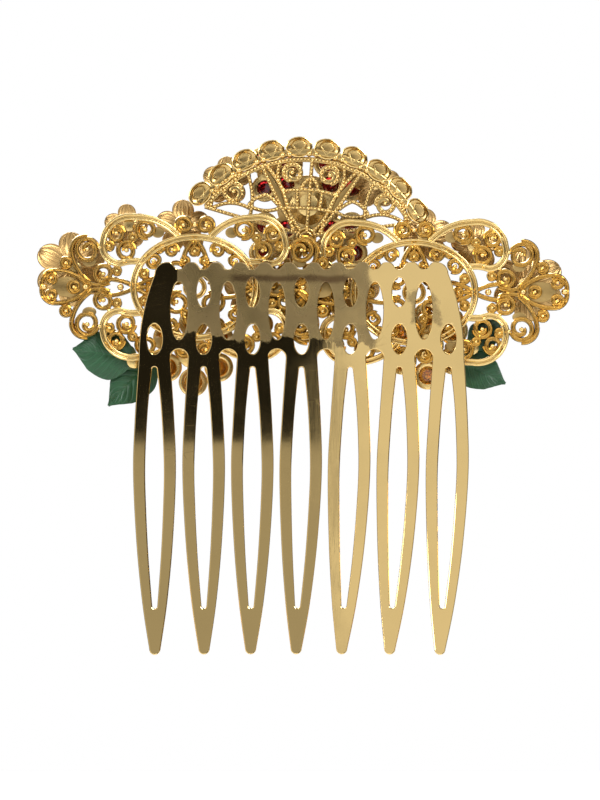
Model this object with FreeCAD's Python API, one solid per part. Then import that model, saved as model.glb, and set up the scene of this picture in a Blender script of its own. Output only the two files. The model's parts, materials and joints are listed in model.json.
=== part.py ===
import FreeCAD, Part
import math
import os

# Decorative hair comb: a stamped comb plate with seven looped teeth, two filigree panels and a
# filigree fan soldered in layers on its outer side, and flowers, leaves and crystals standing in
# front of them on posts.  Millimetres.  +Z up, the decorated face towards -Y, the head towards +Y.
# Origin: on the plate's outer face, at mid width, level with the roots of the teeth.

V = FreeCAD.Vector

# ---- curvature ------------------------------------------------------------------------------
HEAD_RADIUS = 250.0          # plate and panels bend round the head about a vertical axis
TOOTH_BOW_RADIUS = 250.0     # the teeth bow towards the head in the vertical plane
BOW_START_Z = 2.0            # height at which the bow begins

# ---- sheet and layers -----------------------------------------------------------------------
PLATE_THICKNESS = 0.9
PANEL_THICKNESS = 1.1
FAN_THICKNESS = 1.1
SOLDER_FILM = 0.15
SOLDER_PAD_RADIUS = 1.6
SMALLEST_SOLDER_AREA = 0.4

# ---- comb plate -----------------------------------------------------------------------------
TOOTH_COUNT = 7
TOOTH_PITCH = 9.8
TOOTH_LENGTH = 60.0          # from the tooth roots to the tips
GAP_HEAD_RADIUS = 1.75       # round head of the gap between two teeth
GAP_HEAD_Z = -1.2
TOOTH_ROOT_WIDTH = TOOTH_PITCH - 2 * GAP_HEAD_RADIUS
TOOTH_BELLY_WIDTH = TOOTH_PITCH - 1.3
TOOTH_TIP_WIDTH = 2.2
TOOTH_LIMB_WIDTH = 2.4       # each side of a looped tooth at its belly
SLOT_BELLY_WIDTH = TOOTH_BELLY_WIDTH - 2 * TOOTH_LIMB_WIDTH
SLOT_END_WIDTH = 1.0
SLOT_TOP_Z = -3.0
SLOT_BOTTOM_MARGIN = 9.0     # solid length between the opening and the tip
TIP_LEANS = (2.1, 2.2, 1.9, 1.1, 0.3, -0.3, -0.4)   # sideways bend of each tip, from -X to +X
SPINE_TOP_Z = 18.0
SPINE_TOP_WIDTH = TOOTH_PITCH * (TOOTH_COUNT - 1)
SPINE_MID_WIDTH = SPINE_TOP_WIDTH + 4.8
SPINE_OVERLAP = 2.0          # how far each tooth runs up into the spine before they are joined
SPINE_CORNER_RADIUS = 2.4
SCALLOP_RADIUS = 0.96
SCALLOP_DEPTH = 1.8
SCALLOP_COUNT = 11
LONG_WINDOW = (3.4, 11.5, 8.3)     # width, height and centre height of the cut-outs in the spine
UPPER_WINDOW = (2.8, 5.9, 12.0)
LOWER_WINDOW = (3.0, 6.0, 2.6)
UPPER_WINDOW_COUNT = 5

# ---- filigree panels ------------------------------------------------------------------------
PANEL_RIGHT_CENTRE = (21.4, 13.0)
PANEL_LEFT_CENTRE = (-22.6, 12.0)
HOOP_HALF_LENGTH = 12.2
HOOP_HALF_HEIGHT = 10.1
BAND_WIDTH = 1.4             # main scroll bands
WIRE_WIDTH = 0.9             # fine scroll wires
BEAD_RADIUS = 0.6            # bead at the heart of each scroll

# ---- filigree fan ---------------------------------------------------------------------------
FAN_CENTRE = (-0.24, 14.3)
FAN_TILT = 4.5               # degrees, leaning towards -X
FAN_ARC_RADIUS = 24.6
FAN_PATTERN_RADIUS = 24.6    # arch radius that the fan's pattern is drawn for
FAN_SCALE = FAN_ARC_RADIUS / FAN_PATTERN_RADIUS
FAN_HALF_ANGLE = 57.0
FAN_BASE_HEIGHT = 8.74
FAN_BASE_RADIUS = 2.0
DOME_COUNT = 10
DOME_PITCH_ANGLE = 12.0
DOME_RADIUS = 2.1
DOME_CIRCLE_RADIUS = FAN_PATTERN_RADIUS + 2.5

# ---- gold flowers: name, layer that carries the post, place from its centre, radius, petals ---
GOLD_FLOWERS = (
    ("tip_flower_right", "panel_right", (24.3, 3.8), 7.4, 6),
    ("tip_flower_left", "panel_left", (-22.3, 1.6), 7.4, 6),
    ("wing_flower_right", "panel_right", (13.5, 12.4), 4.4, 5),
    ("wing_flower_left", "panel_left", (-12.1, 9.4), 5.0, 5),
    ("mid_flower_right", "panel_right", (2.3, 12.4), 5.4, 5),
    ("mid_flower_left", "panel_left", (-2.1, 11.4), 5.6, 5),
    ("top_flower_right", "fan", (0.615 * FAN_ARC_RADIUS, 0.833 * FAN_ARC_RADIUS), 4.8, 5),
    ("top_flower_left", "fan", (-0.596 * FAN_ARC_RADIUS, 0.801 * FAN_ARC_RADIUS), 4.8, 5),
    ("band_flower_right", "panel_right", (-11.5, -0.6), 5.6, 5),
    ("band_flower_left", "panel_left", (12.5, -0.2), 5.6, 5),
    ("band_flower_middle", "panel_left", (21.9, -0.2), 3.7, 5),
)
PETAL_THICKNESS = 0.6
PETAL_OVERLAP = 1.08         # petals this much wider than ones that would only touch
FLOWER_DISH_SHARE = 1.5      # radius of the petals' dish, as a multiple of the flower's radius
FLOWER_STANDOFF_Y = 5.6      # from the plate's outer face to the back of each gold flower
FLOWER_STONE_SHARE = 0.27    # centre stone's radius, as a share of the flower's radius
CUP_WALL = 0.45
CUP_FLOOR = 0.35
CUP_LIP = 0.4
POST_RADIUS = 0.7
POST_FOOT_RADIUS = 1.2
POST_FOOT_THICKNESS = 0.4
BRIDGE_STEM = 1.0            # stem, foot and head of the posts under the crystal flowers
BRIDGE_FOOT = 2.2
BRIDGE_HEAD = 1.6

# ---- crystal flowers ------------------------------------------------------------------------
ROSE_PLACE = (-1.1 * FAN_SCALE, 15.4 * FAN_SCALE)    # from the fan's centre
ROSE_STANDOFF_Y = 9.4
ROSE_PETAL_COUNT = 4
ROSE_FIRST_ANGLE = 45.0      # degrees from straight up to the first petal
ROSE_OUTER_STONE = 2.0       # stone radii
ROSE_INNER_STONE = 2.1
ROSE_INNER_RING = 6.4
ROSE_FLANK_RING = ROSE_INNER_RING + 1.6 * ROSE_OUTER_STONE    # two stones beside the petal
ROSE_FLANK_SPREAD = 22.0     # degrees each side of the petal's axis
ROSE_TIP_RING = ROSE_FLANK_RING + 1.85 * ROSE_OUTER_STONE     # one stone at the petal's tip
ROSE_CENTRE_STONE = 3.1
AMBER_RIGHT_PLACE = (0.3, -13.0)     # from the panel's centre
AMBER_LEFT_PLACE = (-2.7, -10.6)
AMBER_STANDOFF_Y = 5.6
AMBER_PETAL_COUNT = 6
AMBER_RING = 6.0
AMBER_STONE = 2.2
AMBER_CENTRE_STONE = 2.5
PAVILION_SHARE = 0.45        # depth of a stone's back, as a share of its radius
CROWN_SHARE = 0.4
TABLE_SHARE = 0.6
GIRDLE = 0.15
SETTING_WALL = 0.7
SETTING_LEDGE = 0.4          # how far the seat runs in under the stone
SEAT_THICKNESS = 0.7
COLLAR_HEIGHT = 1.0
STONE_CLEARANCE = 0.06

# ---- leaves: name, layer, base and tip from its centre, width, gap to the layer, stud radius --
LEAVES = (
    ("leaf_right_upper", "panel_right", (11.9, -14.9), (24.6, -11.6), 9.6, 0.8, 1.5),
    ("leaf_right_lower", "panel_right", (8.1, -13.3), (16.9, -24.4), 8.0, 2.2, 0.9),
    ("leaf_left_upper", "panel_left", (-11.3, -11.5), (-17.1, -5.0), 5.6, 0.8, 1.5),
    ("leaf_left_lower", "panel_left", (-7.4, -12.6), (-18.4, -18.2), 7.6, 2.2, 0.9),
)
LEAF_THICKNESS = 0.7
LEAF_CURL_RADIUS = 20.0
LEAF_STALK_WIDTH = 1.0
STUD_INSET = 0.6             # from a leaf's base to the middle of its stud

# ---- radii of the layers, measured from the vertical axis of the bend -----------------------
PLATE_OUTER = HEAD_RADIUS
PLATE_INNER = PLATE_OUTER - PLATE_THICKNESS
PANEL_RIGHT_BACK = PLATE_OUTER + SOLDER_FILM
PANEL_RIGHT_FRONT = PANEL_RIGHT_BACK + PANEL_THICKNESS
PANEL_LEFT_BACK = PANEL_RIGHT_FRONT + SOLDER_FILM
PANEL_LEFT_FRONT = PANEL_LEFT_BACK + PANEL_THICKNESS
FAN_BACK = PANEL_LEFT_FRONT + SOLDER_FILM
FAN_FRONT = FAN_BACK + FAN_THICKNESS
LAYER_FRONT = {"panel_right": PANEL_RIGHT_FRONT, "panel_left": PANEL_LEFT_FRONT, "fan": FAN_FRONT}
LAYER_CENTRE = {"panel_right": PANEL_RIGHT_CENTRE, "panel_left": PANEL_LEFT_CENTRE,
                "fan": FAN_CENTRE}
STACK_RADIUS = HEAD_RADIUS + 4.0   # pieces stacked at one place share the angle that it has here
AXIS = V(0, HEAD_RADIUS, 0)
CUT_DEPTH = 60.0             # length of a prism that passes through every layer
SHELL_HEIGHT = 160.0         # height of the tubes that the layers are cut from
SHELL_HALF_TURN = 12.0       # degrees of the plate's shell each side of the middle
SHELL_MARGIN = 4.0           # how far the plate's shell runs past its outline
BEAD_OVER_BAND = 0.58        # bead over a band's joint, as a share of the band's width

os.makedirs("parts", exist_ok=True)


def save(shape, name):
    """Write one node, a solid or a group of separate solids."""
    solids = shape.Solids
    result = solids[0] if len(solids) == 1 else Part.makeCompound(solids)
    result.exportStep("parts/%s.step" % name)


# ---- flat shapes in the XZ plane -------------------------------------------------------------
def point(x, z):
    return V(x, 0, z)


def facing_back(face):
    """The flat face turned, where needed, so that it faces +Y."""
    return face if face.normalAt(0, 0).y > 0 else face.reversed()


def flat(wire):
    return facing_back(Part.Face(wire))


def disc(x, z, radius):
    return flat(Part.Wire(Part.makeCircle(radius, point(x, z), V(0, 1, 0))))


def ring(x, z, radius, width):
    """Annulus with the given outer radius."""
    return disc(x, z, radius).cut(disc(x, z, radius - width))


def bar(start, middle, end, width):
    """Band of constant width along the arc through three points, or along a straight line."""
    (x1, z1), (x2, z2), (x3, z3) = start, middle, end
    turn = (x2 - x1) * (z3 - z1) - (z2 - z1) * (x3 - x1)
    half = width / 2.0
    if abs(turn) < 1e-6:
        length = math.hypot(x3 - x1, z3 - z1)
        nx = -(z3 - z1) / length * half
        nz = (x3 - x1) / length * half
        corners = ((x1 + nx, z1 + nz), (x3 + nx, z3 + nz), (x3 - nx, z3 - nz), (x1 - nx, z1 - nz))
        corners = [point(x, z) for x, z in corners]
        return flat(Part.makePolygon(corners + corners[:1]))
    circle = Part.Arc(point(x1, z1), point(x2, z2), point(x3, z3)).toShape().Curve
    centre = circle.Center

    def offset(x, z, distance):
        ray = point(x, z) - centre
        return centre + ray * ((circle.Radius + distance) / circle.Radius)

    outer = [offset(x, z, half) for x, z in (start, middle, end)]
    inner = [offset(x, z, -half) for x, z in (end, middle, start)]
    edges = [Part.Arc(*outer).toShape(), Part.makeLine(outer[2], inner[0]),
             Part.Arc(*inner).toShape(), Part.makeLine(inner[2], outer[0])]
    return flat(Part.Wire(edges))


def chain(points, width):
    """Bands through successive triples of points, with a bead over each joint."""
    faces = []
    for index in range(0, len(points) - 2, 2):
        faces.append(bar(points[index], points[index + 1], points[index + 2], width))
        if index:
            faces.append(disc(points[index][0], points[index][1], width * BEAD_OVER_BAND))
    return faces


def scroll(x, z, radius, width):
    """Closed scroll: ring, bead at its heart, and a short curl that joins them."""
    faces = [ring(x, z, radius, width)]
    inner = radius - width
    if inner > BEAD_RADIUS:
        faces.append(disc(x, z, BEAD_RADIUS))
        faces.append(bar((x, z), (x + inner * 0.45, z - inner * 0.2), (x + inner + width / 2, z),
                         width * 0.6))
    return faces


def mirrored(faces, across_x, across_z):
    """The faces with their mirror images across the pattern's own axes."""
    result = list(faces)
    if across_x:
        result += [face.mirror(V(0, 0, 0), V(1, 0, 0)) for face in result]
    if across_z:
        result += [face.mirror(V(0, 0, 0), V(0, 0, 1)) for face in result]
    return result


def merge(shapes):
    """One flat face from many overlapping ones."""
    faces = [facing_back(face) for shape in shapes for face in shape.Faces]
    merged = faces[0].multiFuse(faces[1:]).removeSplitter().Faces
    return facing_back(max(merged, key=lambda face: face.Area))


def ellipse(x, z, half_x, half_z):
    if half_x >= half_z:
        curve = Part.Ellipse(point(x + half_x, z), point(x, z + half_z), point(x, z))
    else:
        curve = Part.Ellipse(point(x, z + half_z), point(x + half_x, z), point(x, z))
    return flat(Part.Wire(curve.toShape()))


# ---- bending and placing ---------------------------------------------------------------------
def prism(face):
    """The flat shape drawn through every layer along Y."""
    moved = face.copy()
    moved.translate(V(0, -CUT_DEPTH / 2, 0))
    return moved.extrude(V(0, CUT_DEPTH, 0))


def cylinder_shell(inner, outer):
    """Part of a vertical tube about the bend's axis, on the outer side of the head."""
    base = AXIS + V(0, 0, -SHELL_HEIGHT / 2)
    outside = Part.makeCylinder(outer, SHELL_HEIGHT, base)
    inside = Part.makeCylinder(inner, SHELL_HEIGHT, base)
    half_space = Part.makeBox(4 * HEAD_RADIUS, HEAD_RADIUS, SHELL_HEIGHT,
                              V(-2 * HEAD_RADIUS, -HEAD_RADIUS / 2, -SHELL_HEIGHT / 2))
    return outside.cut(inside).common(half_space)


def bent(face, inner, outer):
    """Sheet with the flat shape's outline, bent round the head between two radii."""
    return prism(face).common(cylinder_shell(inner, outer))


def seat_at(shape, place, radius, stack_x):
    """Move a piece made at the origin, with its back at Y = 0, onto the layer of that radius,
    turned as the layers are at stack_x."""
    x, z = place
    placed = shape.copy()
    placed.translate(V(x - stack_x, HEAD_RADIUS - radius, z))
    placed.rotate(AXIS, V(0, 0, 1), math.degrees(math.asin(stack_x / STACK_RADIUS)))
    return placed


def seat(shape, x, z, radius):
    return seat_at(shape, (x, z), radius, x)


def on_layer(layer, offset):
    """Place on a layer, measured from that layer's own centre."""
    centre_x, centre_z = LAYER_CENTRE[layer]
    return centre_x + offset[0], centre_z + offset[1]


# ---- comb plate ------------------------------------------------------------------------------
def lean_at(z, tip_lean):
    """Sideways bend of a tooth at a height below its root."""
    return tip_lean * (min(z, 0.0) / TOOTH_LENGTH) ** 2


def curve_through(points):
    spline = Part.BSplineCurve()
    spline.interpolate([point(x, z) for x, z in points])
    return spline.toShape()


def side_points(half_widths, x, tip_lean, sign):
    return [(x + sign * half + lean_at(z, tip_lean), z) for half, z in half_widths]


def tooth_face(x, tip_lean):
    """Outline of one tooth, from the spine's lower edge to its rounded tip."""
    root = TOOTH_ROOT_WIDTH / 2
    belly = TOOTH_BELLY_WIDTH / 2
    tip = TOOTH_TIP_WIDTH / 2
    length = TOOTH_LENGTH
    halves = [(root, GAP_HEAD_Z), (belly * 0.92, -0.22 * length), (belly, -0.4 * length),
              (belly * 0.85, -0.63 * length), (belly * 0.58, -0.83 * length), (tip, tip - length)]
    left = side_points(halves, x, tip_lean, -1)
    right = side_points(halves, x, tip_lean, 1)
    end = point(x + tip_lean, -length)
    edges = [curve_through(left), Part.Arc(point(*left[-1]), end, point(*right[-1])).toShape(),
             curve_through(right[::-1])]
    top_left = point(x - root, GAP_HEAD_Z + SPINE_OVERLAP)
    top_right = point(x + root, GAP_HEAD_Z + SPINE_OVERLAP)
    edges += [Part.makeLine(point(*right[0]), top_right), Part.makeLine(top_right, top_left),
              Part.makeLine(top_left, point(*left[0]))]
    return flat(Part.Wire(Part.sortEdges(edges)[0]))


def slot_face(x, tip_lean):
    """Long opening inside one looped tooth."""
    end = SLOT_END_WIDTH / 2
    belly = SLOT_BELLY_WIDTH / 2
    bottom = SLOT_BOTTOM_MARGIN - TOOTH_LENGTH
    length = SLOT_TOP_Z - bottom
    halves = [(end, SLOT_TOP_Z - end), (belly * 0.72, SLOT_TOP_Z - 0.18 * length),
              (belly, SLOT_TOP_Z - 0.4 * length), (belly * 0.92, SLOT_TOP_Z - 0.58 * length),
              (belly * 0.66, SLOT_TOP_Z - 0.79 * length), (end, bottom + end)]
    left = side_points(halves, x, tip_lean, -1)
    right = side_points(halves, x, tip_lean, 1)
    top = point(x + lean_at(SLOT_TOP_Z, tip_lean), SLOT_TOP_Z)
    low = point(x + lean_at(bottom, tip_lean), bottom)
    edges = [curve_through(left), Part.Arc(point(*left[-1]), low, point(*right[-1])).toShape(),
             curve_through(right[::-1]), Part.Arc(point(*right[0]), top, point(*left[0])).toShape()]
    return flat(Part.Wire(Part.sortEdges(edges)[0]))


def tooth_positions():
    first = -(TOOTH_COUNT - 1) / 2.0 * TOOTH_PITCH
    return [first + index * TOOTH_PITCH for index in range(TOOTH_COUNT)]


def spine_face():
    """Band that carries the teeth, with its scalloped top and its curved ends."""
    foot = GAP_HEAD_Z
    foot_half = tooth_positions()[-1] + TOOTH_ROOT_WIDTH / 2
    top_half = SPINE_TOP_WIDTH / 2
    corner = SPINE_CORNER_RADIUS
    shoulder = SPINE_TOP_Z - corner
    mid_z = (shoulder + foot) / 2
    edges = []
    for sign in (-1, 1):
        side = Part.Arc(point(sign * foot_half, foot), point(sign * SPINE_MID_WIDTH / 2, mid_z),
                        point(sign * top_half, shoulder)).toShape()
        bulge = corner * (1 - math.sqrt(0.5))
        edge = Part.Arc(point(sign * top_half, shoulder),
                        point(sign * (top_half - bulge), SPINE_TOP_Z - bulge),
                        point(sign * (top_half - corner), SPINE_TOP_Z)).toShape()
        edges += [side, edge]
    edges.append(Part.makeLine(point(corner - top_half, SPINE_TOP_Z),
                               point(top_half - corner, SPINE_TOP_Z)))
    edges.append(Part.makeLine(point(-foot_half, foot), point(foot_half, foot)))
    return flat(Part.Wire(Part.sortEdges(edges)[0]))


def spine_cuts():
    """Scallops along the top, windows in the spine and the round heads of the tooth gaps."""
    cuts = []
    positions = tooth_positions()
    for index in range(SCALLOP_COUNT):
        x = (index - (SCALLOP_COUNT - 1) / 2.0) * TOOTH_PITCH / 2
        floor = SPINE_TOP_Z - SCALLOP_DEPTH + SCALLOP_RADIUS
        cuts.append(disc(x, floor, SCALLOP_RADIUS))
        cuts.append(bar((x, floor), (x, floor + 2), (x, floor + 4), 2 * SCALLOP_RADIUS))
    for x in positions[:-1]:
        width, height, z = LONG_WINDOW
        cuts.append(ellipse(x + TOOTH_PITCH / 2, z, width / 2, height / 2))
        cuts.append(disc(x + TOOTH_PITCH / 2, GAP_HEAD_Z, GAP_HEAD_RADIUS))
    for x in positions:
        width, height, z = LOWER_WINDOW
        cuts.append(ellipse(x, z, width / 2, height / 2))
    skip = (TOOTH_COUNT - UPPER_WINDOW_COUNT) // 2
    for x in positions[skip:TOOTH_COUNT - skip]:
        width, height, z = UPPER_WINDOW
        cuts.append(ellipse(x, z, width / 2, height / 2))
    return cuts


def bowed_shell():
    """Sheet bent round the head, whose lower part also bows towards the head."""
    top = SPINE_TOP_Z + SHELL_MARGIN
    centre_r = PLATE_OUTER - TOOTH_BOW_RADIUS
    reach = math.asin((TOOTH_LENGTH + BOW_START_Z + SHELL_MARGIN) / TOOTH_BOW_RADIUS)

    def place(radius, angle):
        r = centre_r + radius * math.cos(angle)
        return V(0, HEAD_RADIUS - r, BOW_START_Z - radius * math.sin(angle))

    outer = TOOTH_BOW_RADIUS
    inner = outer - PLATE_THICKNESS
    outer_top = V(0, HEAD_RADIUS - PLATE_OUTER, top)
    inner_top = V(0, HEAD_RADIUS - PLATE_INNER, top)
    edges = [Part.makeLine(outer_top, place(outer, 0)),
             Part.Arc(place(outer, 0), place(outer, reach / 2), place(outer, reach)).toShape(),
             Part.makeLine(place(outer, reach), place(inner, reach)),
             Part.Arc(place(inner, reach), place(inner, reach / 2), place(inner, 0)).toShape(),
             Part.makeLine(place(inner, 0), inner_top),
             Part.makeLine(inner_top, outer_top)]
    profile = Part.Face(Part.Wire(edges))
    profile.rotate(AXIS, V(0, 0, 1), -SHELL_HALF_TURN)
    return profile.revolve(AXIS, V(0, 0, 1), 2 * SHELL_HALF_TURN)


def pierced_spine():
    spine = spine_face()
    for cutter in spine_cuts():
        spine = spine.cut(cutter)
    return facing_back(spine.Faces[0])


def comb_plate(spine):
    """The spine and the seven teeth in one sheet."""
    shell = bowed_shell()
    pieces = [prism(spine).common(shell)]
    for x, tip_lean in zip(tooth_positions(), TIP_LEANS):
        tooth = tooth_face(x, tip_lean).cut(slot_face(x, tip_lean))
        pieces.append(prism(tooth.Faces[0]).common(shell))
    return pieces[0].multiFuse(pieces[1:]).removeSplitter()


# ---- filigree panel --------------------------------------------------------------------------
def panel_hoop():
    outer = ellipse(0, 0, HOOP_HALF_LENGTH + BAND_WIDTH / 2, HOOP_HALF_HEIGHT + BAND_WIDTH / 2)
    inner = ellipse(0, 0, HOOP_HALF_LENGTH - BAND_WIDTH / 2, HOOP_HALF_HEIGHT - BAND_WIDTH / 2)
    return outer.cut(inner)


def panel_quarter():
    """Scrolls of one quarter, drawn at -X, +Z of the panel's own centre."""
    faces = []
    faces += chain([(-3.2, 10.2), (-7.4, 13.2), (-11.6, 14.0), (-16.4, 12.7), (-18.2, 9.2),
                    (-17.6, 6.0), (-14.9, 4.7), (-12.6, 5.2), (-10.6, 5.0)], BAND_WIDTH)
    for x, z, radius in ((-2.3, 12.5, 1.9), (-15.6, 10.8, 2.0), (-9.9, 11.5, 2.2),
                         (-13.6, 7.4, 2.15), (-18.2, 2.6, 2.15), (-21.4, 7.5, 2.6),
                         (-25.6, 4.8, 1.4), (-28.5, 1.8, 1.45), (-8.2, 5.2, 1.7),
                         (-4.5, 7.6, 1.6), (-3.7, 2.9, 2.5)):
        faces += scroll(x, z, radius, WIRE_WIDTH)
    for x, z, radius in ((-18.9, 7.9, 0.75), (-14.0, 5.3, 0.7), (-17.0, 4.7, 0.7)):
        faces.append(disc(x, z, radius))
    for points in (((-12.4, 0.3), (-14.5, 1.2), (-16.8, 1.6)),
                   ((-17.0, 0.9), (-19.2, 0.4), (-21.4, 1.0)),
                   ((-20.8, 0.0), (-24.2, 2.6), (-28.5, 3.2)),
                   ((-20.8, 1.0), (-23.4, 3.8), (-24.5, 7.0)),
                   ((-2.4, 4.9), (-1.5, 7.8), (0.0, 9.8)),
                   ((-5.9, 2.0), (-9.2, 1.5), (-11.9, 0.0))):
        faces.append(bar(*points, WIRE_WIDTH))
    return faces


def panel_face(centre):
    """One filigree stamping: a hoop, four scrolled lobes and a scrolled tail at each end."""
    faces = mirrored(panel_quarter(), True, True)
    middle = scroll(0, 7.2, 1.25, WIRE_WIDTH) + scroll(0, -7.2, 1.25, WIRE_WIDTH)
    middle += [disc(0, 12.5, 0.75), disc(0, -12.5, 0.75), ring(0, 0, 2.4, WIRE_WIDTH)]
    ends = scroll(-24.0, 0, 1.5, WIRE_WIDTH) + scroll(-8.8, 0, 1.25, WIRE_WIDTH)
    ends += [disc(-21.7, 0, 1.0), disc(-29.9, 0, 1.05), disc(-14.8, 0, 0.95),
             bar((-9.8, 0), (-11.0, 0), (-12.2, 0), WIRE_WIDTH)]
    middle += [bar((0, 8.2), (0, 9.2), (0, 10.1), WIRE_WIDTH),
               bar((0, -8.2), (0, -9.2), (0, -10.1), WIRE_WIDTH)]
    faces += [panel_hoop()] + middle + mirrored(ends, True, False)
    face = merge(faces)
    face.translate(point(*centre))
    return face


# ---- filigree fan ----------------------------------------------------------------------------
def polar(radius, degrees):
    angle = math.radians(degrees)
    return (radius * math.sin(angle), radius * math.cos(angle))


def fan_half():
    """Ribs and scrolls of one half, drawn at -X of the fan's own axis."""
    faces = []
    faces.append(bar((-3.0, 10.3), (-5.4, 16.6), (-9.6, 22.6), 1.5))
    faces.append(bar((-1.4, 10.3), (-4.2, 14.6), (-5.3, 18.2), WIRE_WIDTH))
    faces.append(bar((-5.3, 18.0), (-6.6, 20.6), (-6.4, 23.6), WIRE_WIDTH))
    faces.append(bar((-2.2, 14.6), (-2.4, 16.4), (-2.5, 18.3), WIRE_WIDTH))
    faces.append(bar((0.0, 20.9), (-1.0, 20.1), (-1.7, 18.4), WIRE_WIDTH))
    faces.append(bar((-1.6, 9.6), (-11.0, 11.4), (-20.8, 13.4), WIRE_WIDTH))
    faces.append(bar((-19.6, 13.2), (-18.4, 17.6), (-12.6, 20.6), WIRE_WIDTH))
    faces.append(bar((-19.4, 13.2), (-15.6, 14.6), (-11.8, 13.8), WIRE_WIDTH))
    faces.append(bar((-12.8, 20.8), (-11.6, 17.2), (-11.8, 11.6), WIRE_WIDTH))
    faces.append(bar((-12.0, 14.6), (-10.6, 16.0), (-8.8, 16.8), WIRE_WIDTH))
    faces.append(bar((-8.9, 16.9), (-7.6, 16.2), (-6.2, 15.0), WIRE_WIDTH))
    faces.append(bar((-12.0, 14.4), (-9.0, 13.6), (-5.4, 14.6), WIRE_WIDTH))
    faces += scroll(-3.8, 21.7, 2.2, WIRE_WIDTH)
    faces += scroll(-15.3, 16.9, 2.3, WIRE_WIDTH)
    return faces


def fan_face():
    """Half-round fan: base ring, arched edge with domes and beads, ribs and scrolls."""
    first = -FAN_HALF_ANGLE
    faces = [bar(polar(FAN_PATTERN_RADIUS, first), polar(FAN_PATTERN_RADIUS, 0),
                 polar(FAN_PATTERN_RADIUS, FAN_HALF_ANGLE), 1.2)]
    faces.append(ring(0, FAN_BASE_HEIGHT, FAN_BASE_RADIUS, 1.0))
    for index in range(DOME_COUNT):
        angle = (index - (DOME_COUNT - 1) / 2.0) * DOME_PITCH_ANGLE
        faces.append(disc(*polar(DOME_CIRCLE_RADIUS, angle), DOME_RADIUS))
        if index:
            for side in (-1, 1):
                bead = polar(FAN_PATTERN_RADIUS + 1.1, angle - DOME_PITCH_ANGLE / 2 + side * 1.6)
                faces.append(disc(*bead, 0.8))
    faces.append(bar((0, FAN_BASE_HEIGHT + 1.5), (0, 17), (0, FAN_PATTERN_RADIUS), WIRE_WIDTH))
    faces.append(bar((-5.6, 17.7), (0, 18.5), (5.6, 17.7), WIRE_WIDTH))
    faces.append(bar((-5.0, 14.4), (0, 14.8), (5.0, 14.4), WIRE_WIDTH))
    faces += mirrored(fan_half(), True, False)
    face = merge(faces)
    face.scale(FAN_SCALE)
    face.rotate(V(0, 0, 0), V(0, 1, 0), -FAN_TILT)
    face.translate(point(*FAN_CENTRE))
    return face


# ---- stones and settings ---------------------------------------------------------------------
def stone(radius):
    """Cut stone: culet at the back, girdle, and a flat table at the front (-Y)."""
    girdle_back = -radius * PAVILION_SHARE
    girdle_front = girdle_back - GIRDLE
    table = girdle_front - radius * CROWN_SHARE
    profile = [V(0, 0, 0), V(radius, girdle_back, 0), V(radius, girdle_front, 0),
               V(radius * TABLE_SHARE, table, 0), V(0, table, 0)]
    face = Part.Face(Part.makePolygon(profile + profile[:1]))
    return face.revolve(V(0, 0, 0), V(0, 1, 0), 360)


def seat_level(radius):
    """Distance from the setting's back to a stone's culet, with its pavilion on the seat."""
    hole = radius - SETTING_LEDGE
    return SEAT_THICKNESS - PAVILION_SHARE * hole + STONE_CLEARANCE


def gallery(places, webs):
    """Open-backed cluster setting: a seat ring and a collar for each stone, joined into one.
    The webs are discs that fill the space between stones."""
    outline = [disc(x, z, radius + SETTING_WALL) for x, z, radius in places]
    outline += [disc(*web) for web in webs]
    blank = merge(outline)
    seats = blank
    collars = blank
    for x, z, radius in places:
        seats = seats.cut(disc(x, z, radius - SETTING_LEDGE))
        collars = collars.cut(disc(x, z, radius + STONE_CLEARANCE))
    lower = seats.extrude(V(0, -SEAT_THICKNESS, 0))
    upper = collars.extrude(V(0, -COLLAR_HEIGHT, 0))
    upper.translate(V(0, -SEAT_THICKNESS, 0))
    return lower.fuse(upper).removeSplitter()


def set_stone(x, z, radius):
    """A stone in its place in a gallery whose back is at Y = 0."""
    placed = stone(radius)
    placed.translate(V(x, -seat_level(radius), z))
    return placed


def post(length, foot_radius=POST_FOOT_RADIUS, radius=POST_RADIUS):
    """Post that runs from its foot on the filigree at Y = 0 to the back of a flower."""
    foot = Part.makeCylinder(foot_radius, POST_FOOT_THICKNESS, V(0, 0, 0), V(0, -1, 0))
    stem = Part.makeCylinder(radius, length, V(0, 0, 0), V(0, -1, 0))
    return foot.fuse(stem).removeSplitter()


# ---- gold flowers ----------------------------------------------------------------------------
def gold_flower(radius, petals):
    """Dished flower stamping, its back pole at the origin and its petals rising to the front."""
    half_step = math.sin(math.pi / petals)
    lobe = radius * half_step / (1 + half_step) * PETAL_OVERLAP
    reach = radius - lobe
    faces = [disc(0, 0, reach)]
    for index in range(petals):
        faces.append(disc(*polar(reach, 360.0 * index / petals), lobe))
    blank = merge(faces)
    dish = radius * FLOWER_DISH_SHARE
    outer = Part.makeSphere(dish, V(0, -dish, 0))
    inner = Part.makeSphere(dish - PETAL_THICKNESS, V(0, -dish, 0))
    return blank.extrude(V(0, -dish, 0)).common(outer.cut(inner))


def flower_cup(stone_radius):
    """Small cup whose conical well takes the back of the centre stone."""
    well = stone_radius + STONE_CLEARANCE
    depth = stone_radius * PAVILION_SHARE
    height = CUP_FLOOR + depth + CUP_LIP
    cup = Part.makeCylinder(stone_radius + CUP_WALL, height, V(0, 0, 0), V(0, -1, 0))
    cone = Part.makeCone(0.0, well, depth, V(0, -CUP_FLOOR, 0), V(0, -1, 0))
    mouth = Part.makeCylinder(well, 2 * CUP_LIP, V(0, -CUP_FLOOR - depth, 0), V(0, -1, 0))
    return cup.cut(cone.fuse(mouth))


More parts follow.
